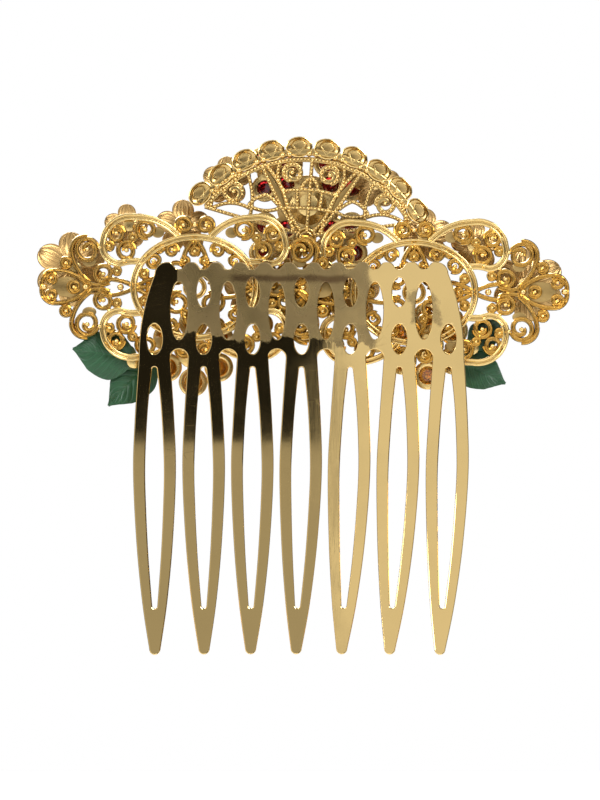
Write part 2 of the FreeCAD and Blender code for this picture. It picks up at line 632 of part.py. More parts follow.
def build_gold_flowers():
    posts = []
    for name, layer, offset, radius, petals in GOLD_FLOWERS:
        x, z = on_layer(layer, offset)
        back = HEAD_RADIUS + FLOWER_STANDOFF_Y
        stone_radius = radius * FLOWER_STONE_SHARE
        save(seat(gold_flower(radius, petals), x, z, back), name)
        front = back + PETAL_THICKNESS + sag(stone_radius + CUP_WALL, radius)
        save(seat(flower_cup(stone_radius), x, z, front), name + "_cup")
        save(seat(stone(stone_radius), x, z, front + CUP_FLOOR + STONE_CLEARANCE), name + "_stone")
        foot = LAYER_FRONT[layer]
        posts.append(seat(post(back - foot), x, z, foot))
    save(Part.makeCompound(posts), "flower_posts")


def sag(reach, radius):
    """Rise of the dished flower's inner face at a distance from its centre."""
    dish = radius * FLOWER_DISH_SHARE - PETAL_THICKNESS
    return dish - math.sqrt(dish * dish - reach * reach)


# ---- crystal flowers -------------------------------------------------------------------------
def build_rose():
    x, z = on_layer("fan", ROSE_PLACE)
    back = HEAD_RADIUS + ROSE_STANDOFF_Y
    outer = []
    inner = []
    webs = [(0, 0, ROSE_INNER_RING)]
    step = 360.0 / ROSE_PETAL_COUNT
    half_petal = (ROSE_TIP_RING - ROSE_INNER_RING) / 2
    for index in range(ROSE_PETAL_COUNT):
        angle = ROSE_FIRST_ANGLE + index * step
        outer.append((*polar(ROSE_TIP_RING, angle), ROSE_OUTER_STONE))
        for side in (-1, 1):
            outer.append((*polar(ROSE_FLANK_RING, angle + side * ROSE_FLANK_SPREAD),
                          ROSE_OUTER_STONE))
        inner.append((*polar(ROSE_INNER_RING, angle), ROSE_INNER_STONE))
        webs.append((*polar(ROSE_INNER_RING + half_petal, angle), half_petal))
    centre = [(0, 0, ROSE_CENTRE_STONE)]
    save(seat(gallery(outer + inner + centre, webs), x, z, back), "rose_gallery")
    for name, places in (("rose_outer_stones", outer), ("rose_inner_stones", inner),
                         ("rose_centre_stone", centre)):
        stones = Part.makeCompound([set_stone(*place) for place in places])
        save(seat(stones, x, z, back), name)
    save(seat(bridge_post(back - FAN_FRONT, ROSE_CENTRE_STONE), x, z, FAN_FRONT), "rose_post")


def bridge_post(length, stone_radius):
    """Post under an open-backed setting: foot, stem and a flared head hollowed for the culet."""
    rim = stone_radius + SETTING_WALL
    stem_length = length - BRIDGE_HEAD
    head = Part.makeCone(BRIDGE_STEM, rim, BRIDGE_HEAD, V(0, -stem_length, 0), V(0, -1, 0))
    whole = post(stem_length, BRIDGE_FOOT, BRIDGE_STEM).fuse(head).removeSplitter()
    hollow = stone_radius - SETTING_LEDGE
    depth = hollow * PAVILION_SHARE - SEAT_THICKNESS + 4 * STONE_CLEARANCE
    return whole.cut(Part.makeCone(hollow, 0.0, depth, V(0, -length, 0), V(0, 1, 0)))


def build_amber_flowers():
    for side, place, layer in (("right", AMBER_RIGHT_PLACE, "panel_right"),
                               ("left", AMBER_LEFT_PLACE, "panel_left")):
        x, z = on_layer(layer, place)
        back = HEAD_RADIUS + AMBER_STANDOFF_Y
        step = 360.0 / AMBER_PETAL_COUNT
        petals = [(*polar(AMBER_RING, index * step), AMBER_STONE)
                  for index in range(AMBER_PETAL_COUNT)]
        centre = [(0, 0, AMBER_CENTRE_STONE)]
        save(seat(gallery(petals + centre, []), x, z, back), "amber_gallery_" + side)
        stones = Part.makeCompound([set_stone(*petal) for petal in petals])
        save(seat(stones, x, z, back), "amber_petal_stones_" + side)
        save(seat(set_stone(*centre[0]), x, z, back), "amber_centre_stone_" + side)
        foot = LAYER_FRONT[layer]
        save(seat(bridge_post(back - foot, AMBER_CENTRE_STONE), x, z, foot), "amber_post_" + side)


# ---- leaves ----------------------------------------------------------------------------------
def leaf(length, width):
    """Leaf along +Z from the origin, curled about its midrib, with its back at Y = 0."""
    stalk = LEAF_STALK_WIDTH / 2
    halves = [(stalk, 0), (0.24 * width, 0.13 * length), (0.5 * width, 0.42 * length),
              (0.4 * width, 0.78 * length), (0.14 * width, 0.98 * length)]
    left = [point(-half, z) for half, z in halves]
    right = [point(half, z) for half, z in halves]
    edges = [curve_through([(-half, z) for half, z in halves]), curve_through(halves),
             Part.Arc(left[-1], point(0, length), right[-1]).toShape(),
             Part.makeLine(left[0], right[0])]
    blank = flat(Part.Wire(Part.sortEdges(edges)[0]))
    solid = blank.extrude(V(0, -LEAF_CURL_RADIUS, 0))
    base = V(0, -LEAF_CURL_RADIUS, -1)
    outer = Part.makeCylinder(LEAF_CURL_RADIUS, length + 4, base)
    inner = Part.makeCylinder(LEAF_CURL_RADIUS - LEAF_THICKNESS, length + 4, base)
    return solid.common(outer.cut(inner))


def build_leaves():
    studs = []
    for name, layer, base_offset, tip_offset, width, gap, stud_radius in LEAVES:
        base = on_layer(layer, base_offset)
        tip = on_layer(layer, tip_offset)
        dx = tip[0] - base[0]
        dz = tip[1] - base[1]
        length = math.hypot(dx, dz)
        blade = leaf(length, width)
        blade.rotate(V(0, 0, 0), V(0, 1, 0), math.degrees(math.atan2(dx, dz)))
        turned = seat_at(blade, base, LAYER_FRONT[layer] + gap, base[0])
        save(turned, name)
        middle = (base[0] + STUD_INSET * dx / length, base[1] + STUD_INSET * dz / length)
        stud = Part.makeCylinder(stud_radius, gap, V(0, 0, 0), V(0, -1, 0))
        studs.append(seat_at(stud, middle, LAYER_FRONT[layer], base[0]))
    save(Part.makeCompound(studs), "leaf_studs")


# ---- solder ----------------------------------------------------------------------------------
def solder_pads(spine, right, left, fan):
    """Solder between two layers, at places where both have metal: a disc cut by both outlines."""
    right_x, right_z = PANEL_RIGHT_CENTRE
    left_x, left_z = PANEL_LEFT_CENTRE
    fan_x, fan_z = FAN_CENTRE
    places = []
    for side, x, z, panel, back in ((1, right_x, right_z, right, PANEL_RIGHT_BACK),
                                    (-1, left_x, left_z, left, PANEL_LEFT_BACK)):
        for dx, dz in ((-11.6, -5.6), (0, -HOOP_HALF_HEIGHT), (2.3, 0.0), (-4.6, 1.6)):
            places.append((x + side * dx, z + dz, PLATE_OUTER, back, spine, panel))
    for dx, dz in ((-1.4, 5.1), (-0.4, -1.3)):
        places.append((fan_x + dx, fan_z + dz, PANEL_RIGHT_FRONT, PANEL_LEFT_BACK, right, left))
    for dx, dz in ((4.2, 10.3), (16.8, 11.7)):
        places.append((fan_x + dx * FAN_SCALE, fan_z + dz * FAN_SCALE, PANEL_RIGHT_FRONT, FAN_BACK,
                       right, fan))
    for dx, dz in ((-5.4, 8.3), (-16.8, 10.7)):
        places.append((fan_x + dx * FAN_SCALE, fan_z + dz * FAN_SCALE, PANEL_LEFT_FRONT, FAN_BACK,
                       left, fan))
    pads = []
    for x, z, inner, outer, below, above in places:
        shared = disc(x, z, SOLDER_PAD_RADIUS).common(below).common(above)
        for face in shared.Faces:
            if face.Area > SMALLEST_SOLDER_AREA:
                pads.append(bent(facing_back(face), inner, outer))
    return pads


spine_outline = pierced_spine()
right_outline = panel_face(PANEL_RIGHT_CENTRE)
left_outline = panel_face(PANEL_LEFT_CENTRE)
fan_outline = fan_face()
save(comb_plate(spine_outline), "comb_plate")
save(bent(right_outline, PANEL_RIGHT_BACK, PANEL_RIGHT_FRONT), "filigree_panel_right")
save(bent(left_outline, PANEL_LEFT_BACK, PANEL_LEFT_FRONT), "filigree_panel_left")
save(bent(fan_outline, FAN_BACK, FAN_FRONT), "filigree_fan")
build_gold_flowers()
build_rose()
build_amber_flowers()
build_leaves()
save(Part.makeCompound(solder_pads(spine_outline, right_outline, left_outline, fan_outline)),
     "solder_joints")
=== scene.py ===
import json
import math

import bpy
from mathutils import Matrix, Vector

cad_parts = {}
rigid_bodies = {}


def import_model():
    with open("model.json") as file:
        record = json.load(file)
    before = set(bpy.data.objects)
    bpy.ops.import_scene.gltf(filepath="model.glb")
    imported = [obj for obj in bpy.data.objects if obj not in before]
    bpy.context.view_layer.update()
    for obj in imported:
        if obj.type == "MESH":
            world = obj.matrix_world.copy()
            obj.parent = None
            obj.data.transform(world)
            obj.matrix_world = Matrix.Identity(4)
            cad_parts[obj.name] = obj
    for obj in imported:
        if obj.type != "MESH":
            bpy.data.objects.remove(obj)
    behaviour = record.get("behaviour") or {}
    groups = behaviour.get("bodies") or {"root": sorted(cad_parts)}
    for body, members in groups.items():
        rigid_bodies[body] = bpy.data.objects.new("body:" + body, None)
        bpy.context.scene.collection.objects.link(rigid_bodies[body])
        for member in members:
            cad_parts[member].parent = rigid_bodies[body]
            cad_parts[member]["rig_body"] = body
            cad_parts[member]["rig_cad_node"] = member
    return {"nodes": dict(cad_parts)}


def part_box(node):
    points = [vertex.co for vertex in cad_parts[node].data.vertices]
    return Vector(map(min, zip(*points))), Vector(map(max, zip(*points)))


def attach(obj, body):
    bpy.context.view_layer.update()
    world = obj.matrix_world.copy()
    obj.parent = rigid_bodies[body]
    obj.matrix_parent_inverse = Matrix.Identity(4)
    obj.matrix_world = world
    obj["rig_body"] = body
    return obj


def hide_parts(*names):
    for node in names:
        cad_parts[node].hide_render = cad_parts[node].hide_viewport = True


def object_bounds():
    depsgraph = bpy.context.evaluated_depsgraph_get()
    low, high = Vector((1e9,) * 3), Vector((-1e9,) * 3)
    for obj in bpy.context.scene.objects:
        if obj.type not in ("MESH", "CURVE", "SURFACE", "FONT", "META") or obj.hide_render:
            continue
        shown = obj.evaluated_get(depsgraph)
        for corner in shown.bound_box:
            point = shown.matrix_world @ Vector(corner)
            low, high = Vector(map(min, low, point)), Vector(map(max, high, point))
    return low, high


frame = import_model()
CAD_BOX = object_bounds()

bl_info = {
    "name": "Decorative hair comb",
    "version": (1, 0, 0),
    "blender": (4, 5, 0),
    "location": "3D View > Sidebar > Hair comb",
    "description": "Builds a gold filigree hair comb with flowers, leaves and crystals",
    "category": "Object",
}

MM = 0.001
BODY = "root"
SIDES = ("right", "left")
FLOWERS = tuple(sorted(node for node in frame["nodes"]
                       if "_flower_" in node and not node.endswith(("_cup", "_stone"))))
LEAVES = tuple("leaf_" + side + "_" + place for side in SIDES for place in ("upper", "lower"))


# ---- settings -----------------------------------------------------------------------------
class CombPlateSettings(bpy.types.PropertyGroup):
    """Sizes of the stamped plate with the teeth."""
    head_radius: bpy.props.FloatProperty(
        name="Head radius", description="Radius of the bend round the head",
        default=0.25, unit="LENGTH")
    thickness: bpy.props.FloatProperty(
        name="Thickness", description="Thickness of the sheet", default=0.0009, unit="LENGTH")
    edge: bpy.props.FloatProperty(
        name="Edge rounding", description="Radius of the tumbled edges",
        default=0.00018, unit="LENGTH")
    tooth_count: bpy.props.IntProperty(
        name="Teeth", description="Number of looped teeth", default=7)
    tooth_pitch: bpy.props.FloatProperty(
        name="Tooth pitch", description="Distance between two teeth",
        default=0.0098, unit="LENGTH")
    tooth_length: bpy.props.FloatProperty(
        name="Tooth length", description="From the roots to the tips",
        default=0.06, unit="LENGTH")


class FiligreeSettings(bpy.types.PropertyGroup):
    """Sizes of the filigree wires and beads."""
    depth: bpy.props.FloatProperty(
        name="Depth", description="Thickness of a filigree layer", default=0.0011, unit="LENGTH")
    band_width: bpy.props.FloatProperty(
        name="Band width", description="Width of the main bands", default=0.0014, unit="LENGTH")
    wire_width: bpy.props.FloatProperty(
        name="Wire width", description="Width of the scroll wires",
        default=0.00102, unit="LENGTH")
    bead_radius: bpy.props.FloatProperty(
        name="Bead radius", description="Bead at the heart of a scroll",
        default=0.00056, unit="LENGTH")
    grain_radius: bpy.props.FloatProperty(
        name="Grain radius", description="Small grains along the ribs of the fan",
        default=0.00034, unit="LENGTH")
    grain_pitch: bpy.props.FloatProperty(
        name="Grain pitch", description="Distance between two grains",
        default=0.00074, unit="LENGTH")


class FlowerSettings(bpy.types.PropertyGroup):
    """Sizes of the stamped flowers and their settings."""
    petal_thickness: bpy.props.FloatProperty(
        name="Petal thickness", description="Thickness of a stamped petal",
        default=0.00035, unit="LENGTH")
    dish: bpy.props.FloatProperty(
        name="Dish", description="Radius of the dish as a share of the flower's radius",
        default=1.5)
    flute_count: bpy.props.IntProperty(
        name="Flutes", description="Flutes across one petal", default=9)
    claw_radius: bpy.props.FloatProperty(
        name="Claw radius", description="Radius of a claw that holds a stone",
        default=0.0003, unit="LENGTH")


class FinishSettings(bpy.types.PropertyGroup):
    """Colours of the metals, stones and enamel."""
    polished_gold: bpy.props.FloatVectorProperty(
        name="Polished gold", description="Plating of the comb plate", subtype="COLOR", size=4,
        default=(0.82, 0.60, 0.255, 1.0))
    filigree_gold: bpy.props.FloatVectorProperty(
        name="Filigree gold", description="Plating of the filigree", subtype="COLOR", size=4,
        default=(0.88, 0.64, 0.26, 1.0))
    fan_gold: bpy.props.FloatVectorProperty(
        name="Fan gold", description="Plating of the fan", subtype="COLOR", size=4,
        default=(0.82, 0.59, 0.235, 1.0))
    satin_gold: bpy.props.FloatVectorProperty(
        name="Satin gold", description="Plating of the stamped flowers", subtype="COLOR", size=4,
        default=(0.70, 0.45, 0.18, 1.0))
    # painted shade and patina: this darker colour is mixed into the grooves, hollows and flute
    # troughs, where shade falls and brown patina lies
    recess_shade_and_patina: bpy.props.FloatVectorProperty(
        name="Recess shade and patina", description="Darker gold that lies in the grooves", subtype="COLOR",
        size=4, default=(0.20, 0.115, 0.035, 1.0))
    flux_stain: bpy.props.FloatVectorProperty(
        name="Flux stain", description="Dull film that soldering left", subtype="COLOR", size=4,
        default=(0.30, 0.215, 0.095, 1.0))
    leaf_green: bpy.props.FloatVectorProperty(
        name="Leaf green", description="Enamel of the leaves", subtype="COLOR", size=4,
        default=(0.008, 0.056, 0.017, 1.0))
    red_crystal: bpy.props.FloatVectorProperty(
        name="Red crystal", description="Stones of the large flower", subtype="COLOR", size=4,
        default=(0.30, 0.008, 0.012, 1.0))
    amber_crystal: bpy.props.FloatVectorProperty(
        name="Amber crystal", description="Stones of the two amber flowers", subtype="COLOR",
        size=4, default=(0.95, 0.42, 0.05, 1.0))
    pale_crystal: bpy.props.FloatVectorProperty(
        name="Pale crystal", description="Stones of the gold flowers", subtype="COLOR", size=4,
        default=(0.86, 0.78, 0.66, 1.0))


class StageSettings(bpy.types.PropertyGroup):
    """Camera and floor."""
    camera_distance: bpy.props.FloatProperty(
        name="Camera distance", description="From the comb to the camera",
        default=0.7, unit="LENGTH")
    camera_height: bpy.props.FloatProperty(
        name="Camera height", description="Height of the camera in the comb's frame",
        default=-0.0096, unit="LENGTH")
    lens: bpy.props.FloatProperty(
        name="Lens", description="Focal length in millimetres", default=157.0)
    floor_drop: bpy.props.FloatProperty(
        name="Floor drop", description="From the lowest tooth tip down to the floor",
        default=0.036, unit="LENGTH")


def settings():
    return bpy.context.scene.hair_comb_settings


class HairCombSettings(bpy.types.PropertyGroup):
    """All settings of the comb."""
    plate: bpy.props.PointerProperty(type=CombPlateSettings)
    filigree: bpy.props.PointerProperty(type=FiligreeSettings)
    flower: bpy.props.PointerProperty(type=FlowerSettings)
    finish: bpy.props.PointerProperty(type=FinishSettings)
    stage: bpy.props.PointerProperty(type=StageSettings)


# ---- selection and modifiers ----------------------------------------------------------------
def choose(*objects):
    """Select only these objects; the first is active."""
    for other in bpy.context.view_layer.objects:
        other.select_set(False)
    for chosen in objects:
        chosen.select_set(True)
    bpy.context.view_layer.objects.active = objects[0] if objects else None


def fresh():
    """The object that an operator has just added."""
    return bpy.context.view_layer.objects.active


def copy_of(piece, name):
    twin = piece.copy()
    twin.data = piece.data.copy()
    twin.name = name
    bpy.context.scene.collection.objects.link(twin)
    return twin


def joined(parts, name):
    choose(*parts)
    if len(parts) > 1:
        bpy.ops.object.join()
    piece = fresh()
    piece.name = name
    piece.data.name = name
    return piece


def apply_modifier(piece, kind, **values):
    choose(piece)
    modifier = piece.modifiers.new(kind.title(), kind)
    for key, value in values.items():
        setattr(modifier, key, value)
    bpy.ops.object.modifier_apply(modifier=modifier.name)


def tidy_mesh(piece, distance=1e-6, outward=True):
    """Merge doubled points and turn the faces outwards."""
    choose(piece)
    bpy.ops.object.mode_set(mode="EDIT")
    bpy.ops.mesh.select_all(action="SELECT")
    bpy.ops.mesh.remove_doubles(threshold=distance)
    if outward:
        bpy.ops.mesh.normals_make_consistent(inside=False)
    bpy.ops.object.mode_set(mode="OBJECT")


def smooth(piece, degrees=40.0):
    choose(piece)
    bpy.ops.object.shade_smooth_by_angle(angle=math.radians(degrees))


def settle(piece):
    """Put the object's place, turn and size into its mesh."""
    choose(piece)
    bpy.ops.object.transform_apply(location=True, rotation=True, scale=True)


def finish_piece(piece, material, slot, *nodes):
    """Give the piece its material, set it on the body and hide the CAD nodes that it stands for;
    the slot is not used.
    """
    piece.data.materials.clear()
    piece.data.materials.append(material)
    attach(piece, BODY)
    if nodes:
        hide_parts(*nodes)


# ---- places from the frame -----------------------------------------------------------------
def centre_of(node):
    low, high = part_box(node)
    return (low + high) / 2


def head_turn(place):
    """Angle of a place round the head's axis."""
    return math.atan2(place.x, settings().plate.head_radius - place.y)


def seat(place):
    """Matrix that sets a piece, made facing -Y at the origin, square to the head at a place."""
    turn = head_turn(place)
    return Matrix.Translation(place) @ Matrix.Rotation(turn, 4, "Z")


def loose_parts(node):
    """Centre and height of each separate solid of a CAD node."""
    twin = copy_of(frame["nodes"][node], "parts_of_" + node)
    twin.parent = None
    twin.hide_viewport = False
    tidy_mesh(twin)
    choose(twin)
    bpy.ops.mesh.separate(type="LOOSE")
    found = []
    for part in list(bpy.context.selected_objects):
        corners = [vertex.co for vertex in part.data.vertices]
        low = Vector([min(corner[axis] for corner in corners) for axis in range(3)])
        high = Vector([max(corner[axis] for corner in corners) for axis in range(3)])
        found.append(((low + high) / 2, high.z - low.z))
        bpy.data.objects.remove(part)
    return found


def refined(node, name, edge=0.00008):
    """Copy of a CAD node with merged points, softened edges and smooth shading."""
    twin = copy_of(frame["nodes"][node], name)
    twin.parent = None
    twin.hide_viewport = False
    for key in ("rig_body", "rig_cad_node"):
        if key in twin:
            del twin[key]
    tidy_mesh(twin, outward=False)
    if edge:
        apply_modifier(twin, "BEVEL", width=edge, segments=2, limit_method="ANGLE",
                       angle_limit=math.radians(45))
    smooth(twin, 35)
    return twin


# ---- bending round the head -----------------------------------------------------------------
def lay_on_layer(piece, back_radius):
    """Bend a flat piece, drawn in XY with its depth along Z, onto a layer of the comb."""
    head = settings().plate.head_radius
    for vertex in piece.data.vertices:
        x, z, depth = vertex.co
        vertex.co = (x, head - math.sqrt((back_radius + depth) ** 2 - x * x), z)


def mark_recess(piece, low, high, depth):
    """Store how deep each point lies in the layer: 0 on its back ridges and 1 in its grooves."""
    # the gold materials paint shade and patina into the grooves by this value
    layer = piece.data.attributes.new("recess", "FLOAT", "POINT")
    for vertex, value in zip(piece.data.vertices, layer.data):
        share = vertex.co.z / depth
        value.value = min(1.0, max(0.0, (share - low) / (high - low)))


# ---- flat curves ---------------------------------------------------------------------------
def polar(radius, degrees):
    angle = math.radians(degrees)
    return (radius * math.sin(angle), radius * math.cos(angle))


def arc(start, middle, end, steps=14):
    """Points of the arc through three points, or of the straight line between the ends."""
    (x1, z1), (x2, z2), (x3, z3) = start, middle, end
    turn = (x2 - x1) * (z3 - z1) - (z2 - z1) * (x3 - x1)
    if abs(turn) < 1e-6:
        return [(x1 + (x3 - x1) * i / steps, z1 + (z3 - z1) * i / steps) for i in range(steps + 1)]
    s1, s2, s3 = x1 * x1 + z1 * z1, x2 * x2 + z2 * z2, x3 * x3 + z3 * z3
    cx = (s1 * (z2 - z3) + s2 * (z3 - z1) + s3 * (z1 - z2)) / (2 * turn)
    cz = (s1 * (x3 - x2) + s2 * (x1 - x3) + s3 * (x2 - x1)) / (2 * turn)
    radius = math.hypot(x1 - cx, z1 - cz)
    first = math.atan2(z1 - cz, x1 - cx)
    last = math.atan2(z3 - cz, x3 - cx)
    if turn > 0 and last < first:
        last += 2 * math.pi
    if turn < 0 and last > first:
        last -= 2 * math.pi
    angles = [first + (last - first) * i / steps for i in range(steps + 1)]
    return [(cx + radius * math.cos(angle), cz + radius * math.sin(angle)) for angle in angles]


def arcs(points, steps=12):
    """One run of points through successive three-point arcs."""
    run = []
    for index in range(0, len(points) - 2, 2):
        part = arc(points[index], points[index + 1], points[index + 2], steps)
        run += part if not run else part[1:]
    return run


def circle(x, z, radius, steps=28):
    angles = [2 * math.pi * i / steps for i in range(steps)]
    return [(x + radius * math.cos(angle), z + radius * math.sin(angle)) for angle in angles]


def oval(x, z, half_x, half_z, steps=48):
    angles = [2 * math.pi * i / steps for i in range(steps)]
    return [(x + half_x * math.cos(angle), z + half_z * math.sin(angle)) for angle in angles]


def spiral(x, z, radius, heart, start, turns=1.75, hand=1):
    """Scroll that closes on itself once and then winds in to its heart."""
    steps = int(turns * 26)
    run = []
    for index in range(steps + 1):
        share = index / steps
        closed = 1.0 / turns * 0.8
        wound = max(0.0, (share - closed) / (1 - closed))
        reach = radius + (heart - radius) * wound ** 0.85
        angle = start + hand * share * turns * 2 * math.pi
        run.append((x + reach * math.cos(angle), z + reach * math.sin(angle)))
    return run


def smooth_through(points, steps=10):
    """Points of a smooth line through a few given ones."""
    run = []
    count = len(points)
    for index in range(count - 1):
        before = points[max(index - 1, 0)]
        start, end = points[index], points[index + 1]
        after = points[min(index + 2, count - 1)]
        for step in range(steps):
            t = step / steps
            run.append(tuple(0.5 * (2 * b + (c - a) * t + (2 * a - 5 * b + 4 * c - d) * t * t
                                    + (3 * b - a - 3 * c + d) * t ** 3)
                             for a, b, c, d in zip(before, start, end, after)))
    run.append(points[-1])
    return run


def curve_object(name, runs, closed):
    """Flat curve in XY, in metres, from runs of points in millimetres."""
    choose()
    bpy.ops.curve.primitive_bezier_circle_add(radius=MM)
    piece = fresh()
    piece.name = name
    data = piece.data
    data.splines.clear()
    data.dimensions = "2D"
    data.fill_mode = "NONE"
    for run in runs:
        spline = data.splines.new("POLY")
        spline.points.add(len(run) - 1)
        for knot, place in zip(spline.points, run):
            knot.co = (place[0] * MM, place[1] * MM, 0, 1)
        spline.use_cyclic_u = closed
    return piece


def to_mesh(piece):
    choose(piece)
    bpy.ops.object.convert(target="MESH")
    return fresh()


def wires(name, runs, closed, width, depth, shape):
    """Wires with a shaped section along flat runs of points; depth runs from 0 at the back."""
    section = curve_object(name + "_section", [shape], True)
    for spline in section.data.splines:
        for knot in spline.points:
            knot.co.x *= width / MM
            knot.co.y *= depth / MM
    line = curve_object(name, runs, closed)
    line.data.bevel_mode = "OBJECT"
    line.data.bevel_object = section
    line.data.use_fill_caps = True
    piece = to_mesh(line)
    bpy.data.objects.remove(section)
    tidy_mesh(piece, 1e-7)
    return piece


def sheet(name, loops, depth, edge):
    """Filled flat sheet with rounded edges; the first loop is its outline."""
    flat = curve_object(name, loops, True)
    flat.data.fill_mode = "BOTH"
    flat.data.extrude = depth / 2 - edge
    flat.data.bevel_depth = edge
    flat.data.bevel_resolution = 2
    flat.data.offset = -edge
    piece = to_mesh(flat)
    for vertex in piece.data.vertices:
        vertex.co.z += depth / 2
    tidy_mesh(piece, 1e-6)
    return piece


# Sections of the wires: across from -0.5 to 0.5, and depth from 0 at the back to 1 at the front.
HALF_GROOVED = ((0.5, 0.34), (0.47, 0.08), (0.34, 0.0), (0.20, 0.04), (0.09, 0.26), (0.0, 0.32))
HALF_FRONT = ((0.46, 0.7), (0.26, 0.94), (0.0, 1.0))
HALF_STRIP = ((0.5, 0.42), (0.42, 0.26), (0.2, 0.2), (0.0, 0.2))


def full_section(back, front):
    """Closed section from its right half: round the back from right to left, then the front."""
    left_back = [(-x, z) for x, z in reversed(back[:-1])]
    left_front = [(-x, z) for x, z in front[:-1]]
    return list(back) + left_back + left_front + list(reversed(front))


def flipped(runs, across_x, across_z):
    """The runs with their mirror images across the pattern's axes."""
    result = list(runs)
    if across_x:
        result += [[(-x, z) for x, z in run] for run in result]
    if across_z:
        result += [[(x, -z) for x, z in run] for run in result]
    return result


def bead(name, radius, segments=8, rings=6):
    choose()
    bpy.ops.mesh.primitive_uv_sphere_add(segments=segments, ring_count=rings, radius=radius)
    piece = fresh()
    piece.name = name
    bpy.ops.object.shade_smooth()
    return piece


def scattered(template, places, name):
    """Copies of a small template, joined; a place is a position and a scale."""
    copies = []
    for position, scale in places:
        twin = copy_of(template, name + "_copy")
        twin.data.transform(Matrix.Translation(position) @ Matrix.Scale(scale, 4))
        copies.append(twin)
    bpy.data.objects.remove(template)
    return joined(copies, name)


def grains(name, points, radius, depth, size=1.0):
    """Beads at flat points in millimetres, centred at one depth."""
    places = [(Vector((x * MM, z * MM, depth)), size * scale) for x, z, scale in points]
    return scattered(bead(name, radius), places, name)


# ---- node groups ---------------------------------------------------------------------------
def new_group(name, inputs, outputs):
    """Shader node group with named float sockets; returns it with its two end nodes."""
    group = bpy.data.node_groups.new(name, "ShaderNodeTree")
    for label, default in inputs:
        kind = "NodeSocketVector" if label == "Vector" else "NodeSocketFloat"
        socket = group.interface.new_socket(label, in_out="INPUT", socket_type=kind)
        if kind == "NodeSocketFloat":
            socket.default_value = default
    for label in outputs:
        group.interface.new_socket(label, in_out="OUTPUT", socket_type="NodeSocketFloat")
    start = group.nodes.new("NodeGroupInput")
    end = group.nodes.new("NodeGroupOutput")
    return group, start, end


def add_node(tree, kind, **values):
    node = tree.nodes.new(kind)
    for key, value in values.items():
        if key in node.inputs:
            node.inputs[key].default_value = value
        else:
            setattr(node, key, value)
    return node


def math_node(tree, operation, *operands):
    """Math node; each operand is a number or a socket."""
    node = tree.nodes.new("ShaderNodeMath")
    node.operation = operation
    for index, operand in enumerate(operands):
        if isinstance(operand, (int, float)):
            node.inputs[index].default_value = operand
        else:
            tree.links.new(operand, node.inputs[index])
    return node.outputs[0]


def ramp(tree, value, low, high, start=0.0, end=1.0):
    """Smooth step of a value from start to end."""
    node = tree.nodes.new("ShaderNodeMapRange")
    node.interpolation_type = "SMOOTHSTEP"
    tree.links.new(value, node.inputs["Value"])
    for label, number in (("From Min", low), ("From Max", high), ("To Min", start),
                          ("To Max", end)):
        if isinstance(number, (int, float)):
            node.inputs[label].default_value = number
        else:
            tree.links.new(number, node.inputs[label])
    return node.outputs["Result"]


def scratch_group():
    """Fine polishing scratches and the long grain of the sheet."""
    name = "Polishing marks"
    if name in bpy.data.node_groups:
        return bpy.data.node_groups[name]
    group, start, end = new_group(
        name, (("Vector", None), ("Grain Scale", 900.0), ("Scratch Scale", 260.0)),
        ("Grain", "Scratch"))
    stretch = add_node(group, "ShaderNodeMapping")
    stretch.inputs["Scale"].default_value = (1.0, 1.0, 0.06)
    group.links.new(start.outputs["Vector"], stretch.inputs["Vector"])
    grain = add_node(group, "ShaderNodeTexNoise", Detail=3.0, Roughness=0.6)
    group.links.new(stretch.outputs["Vector"], grain.inputs["Vector"])
    group.links.new(start.outputs["Grain Scale"], grain.inputs["Scale"])
    group.links.new(grain.outputs["Fac"], end.inputs["Grain"])
    warp = add_node(group, "ShaderNodeTexNoise", Scale=160.0, Detail=3.0)
    group.links.new(start.outputs["Vector"], warp.inputs["Vector"])
    tilt = add_node(group, "ShaderNodeMapping")
    tilt.inputs["Rotation"].default_value = (0.0, 1.0, 0.3)
    tilt.inputs["Scale"].default_value = (0.35, 1.0, 1.0)
    group.links.new(start.outputs["Vector"], tilt.inputs["Vector"])
    cracks = add_node(group, "ShaderNodeTexVoronoi", feature="DISTANCE_TO_EDGE")
    group.links.new(tilt.outputs["Vector"], cracks.inputs["Vector"])
    group.links.new(start.outputs["Scratch Scale"], cracks.inputs["Scale"])
    line = ramp(group, cracks.outputs["Distance"], 0.0, 0.006, 1.0, 0.0)
    patch = ramp(group, warp.outputs["Fac"], 0.58, 0.68)
    group.links.new(math_node(group, "MULTIPLY", line, patch), end.inputs["Scratch"])
    return group


def tarnish_group():
    """Uneven darkening, from broad clouds to small specks."""
    name = "Uneven plating"
    if name in bpy.data.node_groups:
        return bpy.data.node_groups[name]
    group, start, end = new_group(
        name, (("Vector", None), ("Cloud Scale", 120.0), ("Speck Scale", 1500.0)),
        ("Cloud", "Speck"))
    for label, low, high in (("Cloud", 0.38, 0.68), ("Speck", 0.58, 0.72)):
        noise = add_node(group, "ShaderNodeTexNoise", Detail=4.0, Roughness=0.6)
        group.links.new(start.outputs["Vector"], noise.inputs["Vector"])
        group.links.new(start.outputs[label + " Scale"], noise.inputs["Scale"])
        group.links.new(ramp(group, noise.outputs["Fac"], low, high), end.inputs[label])
    return group


def card_group():
    """Soft rectangle in the surroundings, by azimuth and elevation in degrees."""
    group, start, end = new_group(
        "Soft card", (("Azimuth", 0.0), ("Elevation", 0.0), ("West", -10.0), ("East", 10.0),
                      ("Low", -10.0), ("High", 10.0), ("Softness", 1.0)), ("Mask",))
    sides = []
    for value, low, high in (("Azimuth", "West", "East"), ("Elevation", "Low", "High")):
        inner = math_node(group, "ADD", start.outputs[low], start.outputs["Softness"])
        outer = math_node(group, "SUBTRACT", start.outputs[high], start.outputs["Softness"])
        sides.append(ramp(group, start.outputs[value], start.outputs[low], inner))
        sides.append(ramp(group, start.outputs[value], outer, start.outputs[high], 1.0, 0.0))
    mask = sides[0]
    for side in sides[1:]:
        mask = math_node(group, "MULTIPLY", mask, side)
    group.links.new(mask, end.inputs["Mask"])
    return group


